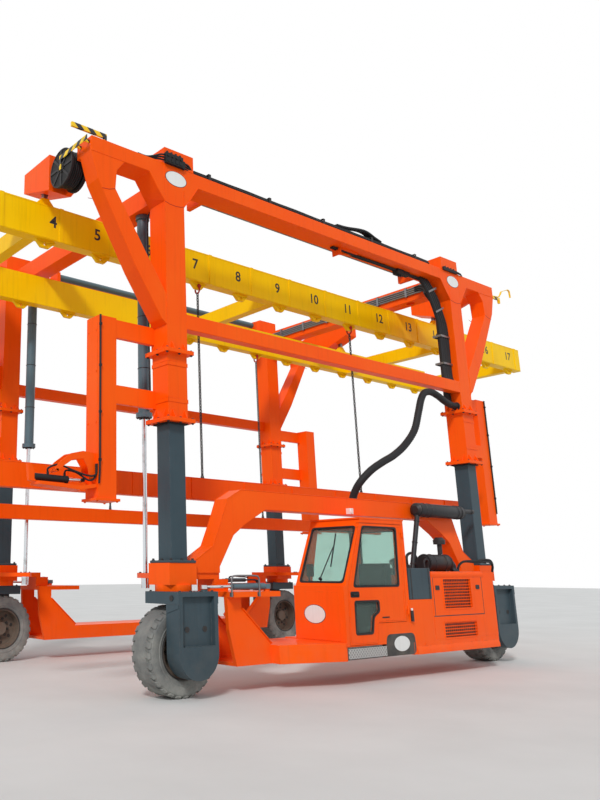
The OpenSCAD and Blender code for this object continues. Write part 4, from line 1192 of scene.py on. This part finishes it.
# striped guard bar in front of the reel, held by the beam's end
makePiece("reel_bar", "guardStripes", "upper_frame", dict(
    boxes=[((-1.366, -0.19, 6.312), (-1.356, 0.43, 6.372)), ((-1.366, 0.395, 6.18), (-1.356, 0.43, 6.312)),
           ((-1.366, -0.12, 6.322), (-1.2752, -0.108, 6.362)),
           ((-1.366, 0.06, 6.322), (-1.2752, 0.072, 6.362))]), 0.001)

# yellow hose guard at the right head, and pipes in clamps along the right cross beam
guard = dict(thick=0.01,
             line=[(7.8, 6.3405), (8.045, 6.365), (8.11, 6.43), (8.16, 6.5), (8.4, 6.59), (8.455, 6.575),
                   (8.47, 6.45)])


def hoseGuard(bm):
    for (x0, z0), (x1, z1) in zip(guard["line"], guard["line"][1:]):
        lift = Vector((z0 - z1, 0, x1 - x0)).normalized() * guard["thick"]
        addPrism(bm, [(x0, -0.03, z0), (x1, -0.03, z1), (x1, 0.0, z1), (x0, 0.0, z0)], lift)
    addBox(bm, (8.0, -0.03, 6.24), (8.012, 0.0, 6.2998))
    addBox(bm, (8.03, -0.034, 6.24), (8.046, 0.004, 6.35))


makePiece("hose_guard", "yellowPaint", "upper_frame", hoseGuard, 0.001)
makePiece("cross_pipes", "bareSteel", "upper_frame", dict(
    hoses=[([(6.056, 3.9, z - 0.01), (6.052, 3.0, z), (6.05, 2.0, z + 0.004), (6.05, 1.0, z), (6.05, 0.46, z),
             (6.06, 0.3, z + 0.02), (6.12, 0.21, 6.33 + 0.01 * k)], 0.0155)
           for k, z in enumerate((6.27, 6.234, 6.198, 6.162))],
    boxes=[((6.03, y, 6.135), (6.0698, y + 0.04, 6.3)) for y in (0.6, 1.2, 1.8, 2.4, 3.0, 3.6)]))

# valve blocks and hose loops on both heads and under the beam, and slack hoses heaped on top of it
valves = dict(left=-0.165, right=0.12, low=6.402, high=6.545, out=-0.205, back=-0.1602)
valveX = [valves["left"] + 0.035 + 0.07 * k for k in range(4)]
out, back, high = valves["out"], valves["back"], valves["high"]
makePiece("head_valves", "hoseRubber", "upper_frame", dict(
    boxes=[((valves["left"], out, valves["low"]), (valves["right"], back, high)),
           ((valves["right"], -0.19, 6.4), (0.165, back, 6.51)),
           ((5.985, -0.186, 6.396), (6.39, back, 6.452)), ((4.9, -0.02, 6.13), (5.06, 0.09, 6.2148)),
           ((5.08, -0.01, 6.15), (5.24, 0.08, 6.2148))]
    + [((x - 0.022, out - 0.006, 6.42), (x + 0.022, out, 6.468)) for x in valveX],
    posts=[(x, -0.182, high, high + 0.026, 0.016, 16) for x in valveX]
    + [(6.05 + 0.085 * k, -0.174, 6.452, 6.472, 0.013, 14) for k in range(4)]
    + [(x, 0.03, 6.102, 6.13, 0.015, 14) for x in (4.935, 4.98, 5.025)],
    rods=[((x, out - 0.012, 6.5), (x, out, 6.5), 0.017, 16) for x in valveX],
    hoses=[([(0.16, y, 6.49 - 0.03 * k), (0.23, y + 0.004, 6.482 - 0.028 * k),
             (0.3, y + 0.03, 6.45 - 0.008 * k), (0.36, y + 0.052, 6.434), (0.42, y + 0.056, 6.432)],
            0.013, 6, 8)
           for k, y in enumerate((-0.176, -0.164, -0.152))]
    + [([(-0.16, y, 6.515 - 0.032 * k), (-0.23, y + 0.006, 6.5 - 0.026 * k),
         (-0.33, y + 0.03, 6.456 - 0.01 * k), (-0.43, y + 0.05, 6.428), (-0.56, y + 0.05 + 0.02 * k, 6.426)],
        0.012, 6, 8)
       for k, y in enumerate((-0.176, -0.164, -0.152))]
    + [([(6.385, -0.174, 6.44 - 0.024 * k), (6.44, -0.176, 6.438 - 0.022 * k),
         (6.52, -0.172, 6.428 - 0.01 * k), (6.6, -0.14, 6.424), (6.66, -0.12 + 0.03 * k, 6.423)],
        0.0115, 6, 8) for k in range(2)]
    + [([(3.3, y, 6.197), (3.9, y + 0.004, 6.19), (4.5, y, 6.196), (5.1, y - 0.004, 6.188), (5.64, y, 6.19)],
        0.0165)
       for y in (0.02, 0.055)]
    + [([(3.25, y, 6.492), (3.48, y, 6.51 + 0.006 * k), (3.8, y - 0.004, 6.56 + 0.008 * k),
         (4.0, y, 6.568 + 0.006 * k), (4.18, y, 6.52), (4.33, y, 6.488)], 0.02, 6, 8)
       for k, y in enumerate((-0.128, -0.098, -0.068, -0.038))]), 0.0015)
makePiece("beam_bracket", "orangePaint", "upper_frame", dict(
    boxes=[((3.42, -0.03, 6.196), (3.86, 0.13, 6.2148)), ((3.42, -0.03, 6.1), (3.44, 0.13, 6.196))],
    prisms=[([(3.44, 0.04, 6.11), (3.84, 0.04, 6.196), (3.44, 0.04, 6.196)], (0, 0.016, 0))]), 0.002)
print("frame pieces made")

# floor, sky and sun
stage = dict(reach=60.0, pale=(0.66, 0.66, 0.645, 1.0), worn=(0.60, 0.60, 0.585, 1.0), rough=0.85,
             sky=(0.93, 0.96, 1.0, 1.0), skyLight=0.62, white=(1.0, 1.0, 1.0, 1.0),
             sun=1.9, spread=9.0, pitch=52.0, turn=-52.0)
bm = bmesh.new()
bmesh.ops.create_grid(bm, x_segments=1, y_segments=1, size=stage["reach"])
floorMesh = bpy.data.meshes.new("studioFloor")
bm.to_mesh(floorMesh)
bm.free()
floor = bpy.data.objects.new("studioFloor", floorMesh)
bpy.context.scene.collection.objects.link(floor)
tree, shader, where = newMaterial("floorPaint")
patches = ramp(tree, noiseOf(tree, where, 0.7, 5.0), 0.3, 0.7)
feed(tree, shader.inputs["Base Color"], mixColour(tree, patches, stage["worn"], stage["pale"]))
shader.inputs["Roughness"].default_value = stage["rough"]
floorMesh.materials.append(finishes["floorPaint"])

# a pale sky lights the scene, and the camera, mirrors and glass see plain white
world = bpy.data.worlds.new("studioWorld")
bpy.context.scene.world = world
world.use_nodes = True
tree = world.node_tree
sky = tree.nodes["Background"]
sky.inputs["Color"].default_value = stage["sky"]
sky.inputs["Strength"].default_value = stage["skyLight"]
white = addNode(tree, "Background", Color=stage["white"], Strength=1.0)
rays = addNode(tree, "LightPath").outputs
seen = mathNode(tree, "MAXIMUM", rays["Is Camera Ray"],
                mathNode(tree, "MAXIMUM", rays["Is Glossy Ray"], rays["Is Transmission Ray"]))
choose = addNode(tree, "MixShader")
for socket, value in zip(choose.inputs, (seen, sky.outputs[0], white.outputs[0])):
    tree.links.new(value, socket)
tree.links.new(choose.outputs[0], tree.nodes["World Output"].inputs["Surface"])

sunData = bpy.data.lights.new("softSun", "SUN")
sunData.energy = stage["sun"]
sunData.angle = math.radians(stage["spread"])
sun = bpy.data.objects.new("softSun", sunData)
bpy.context.scene.collection.objects.link(sun)
sun.rotation_euler = (math.radians(stage["pitch"]), 0, math.radians(stage["turn"]))

bpy.context.scene.view_settings.view_transform = "Standard"
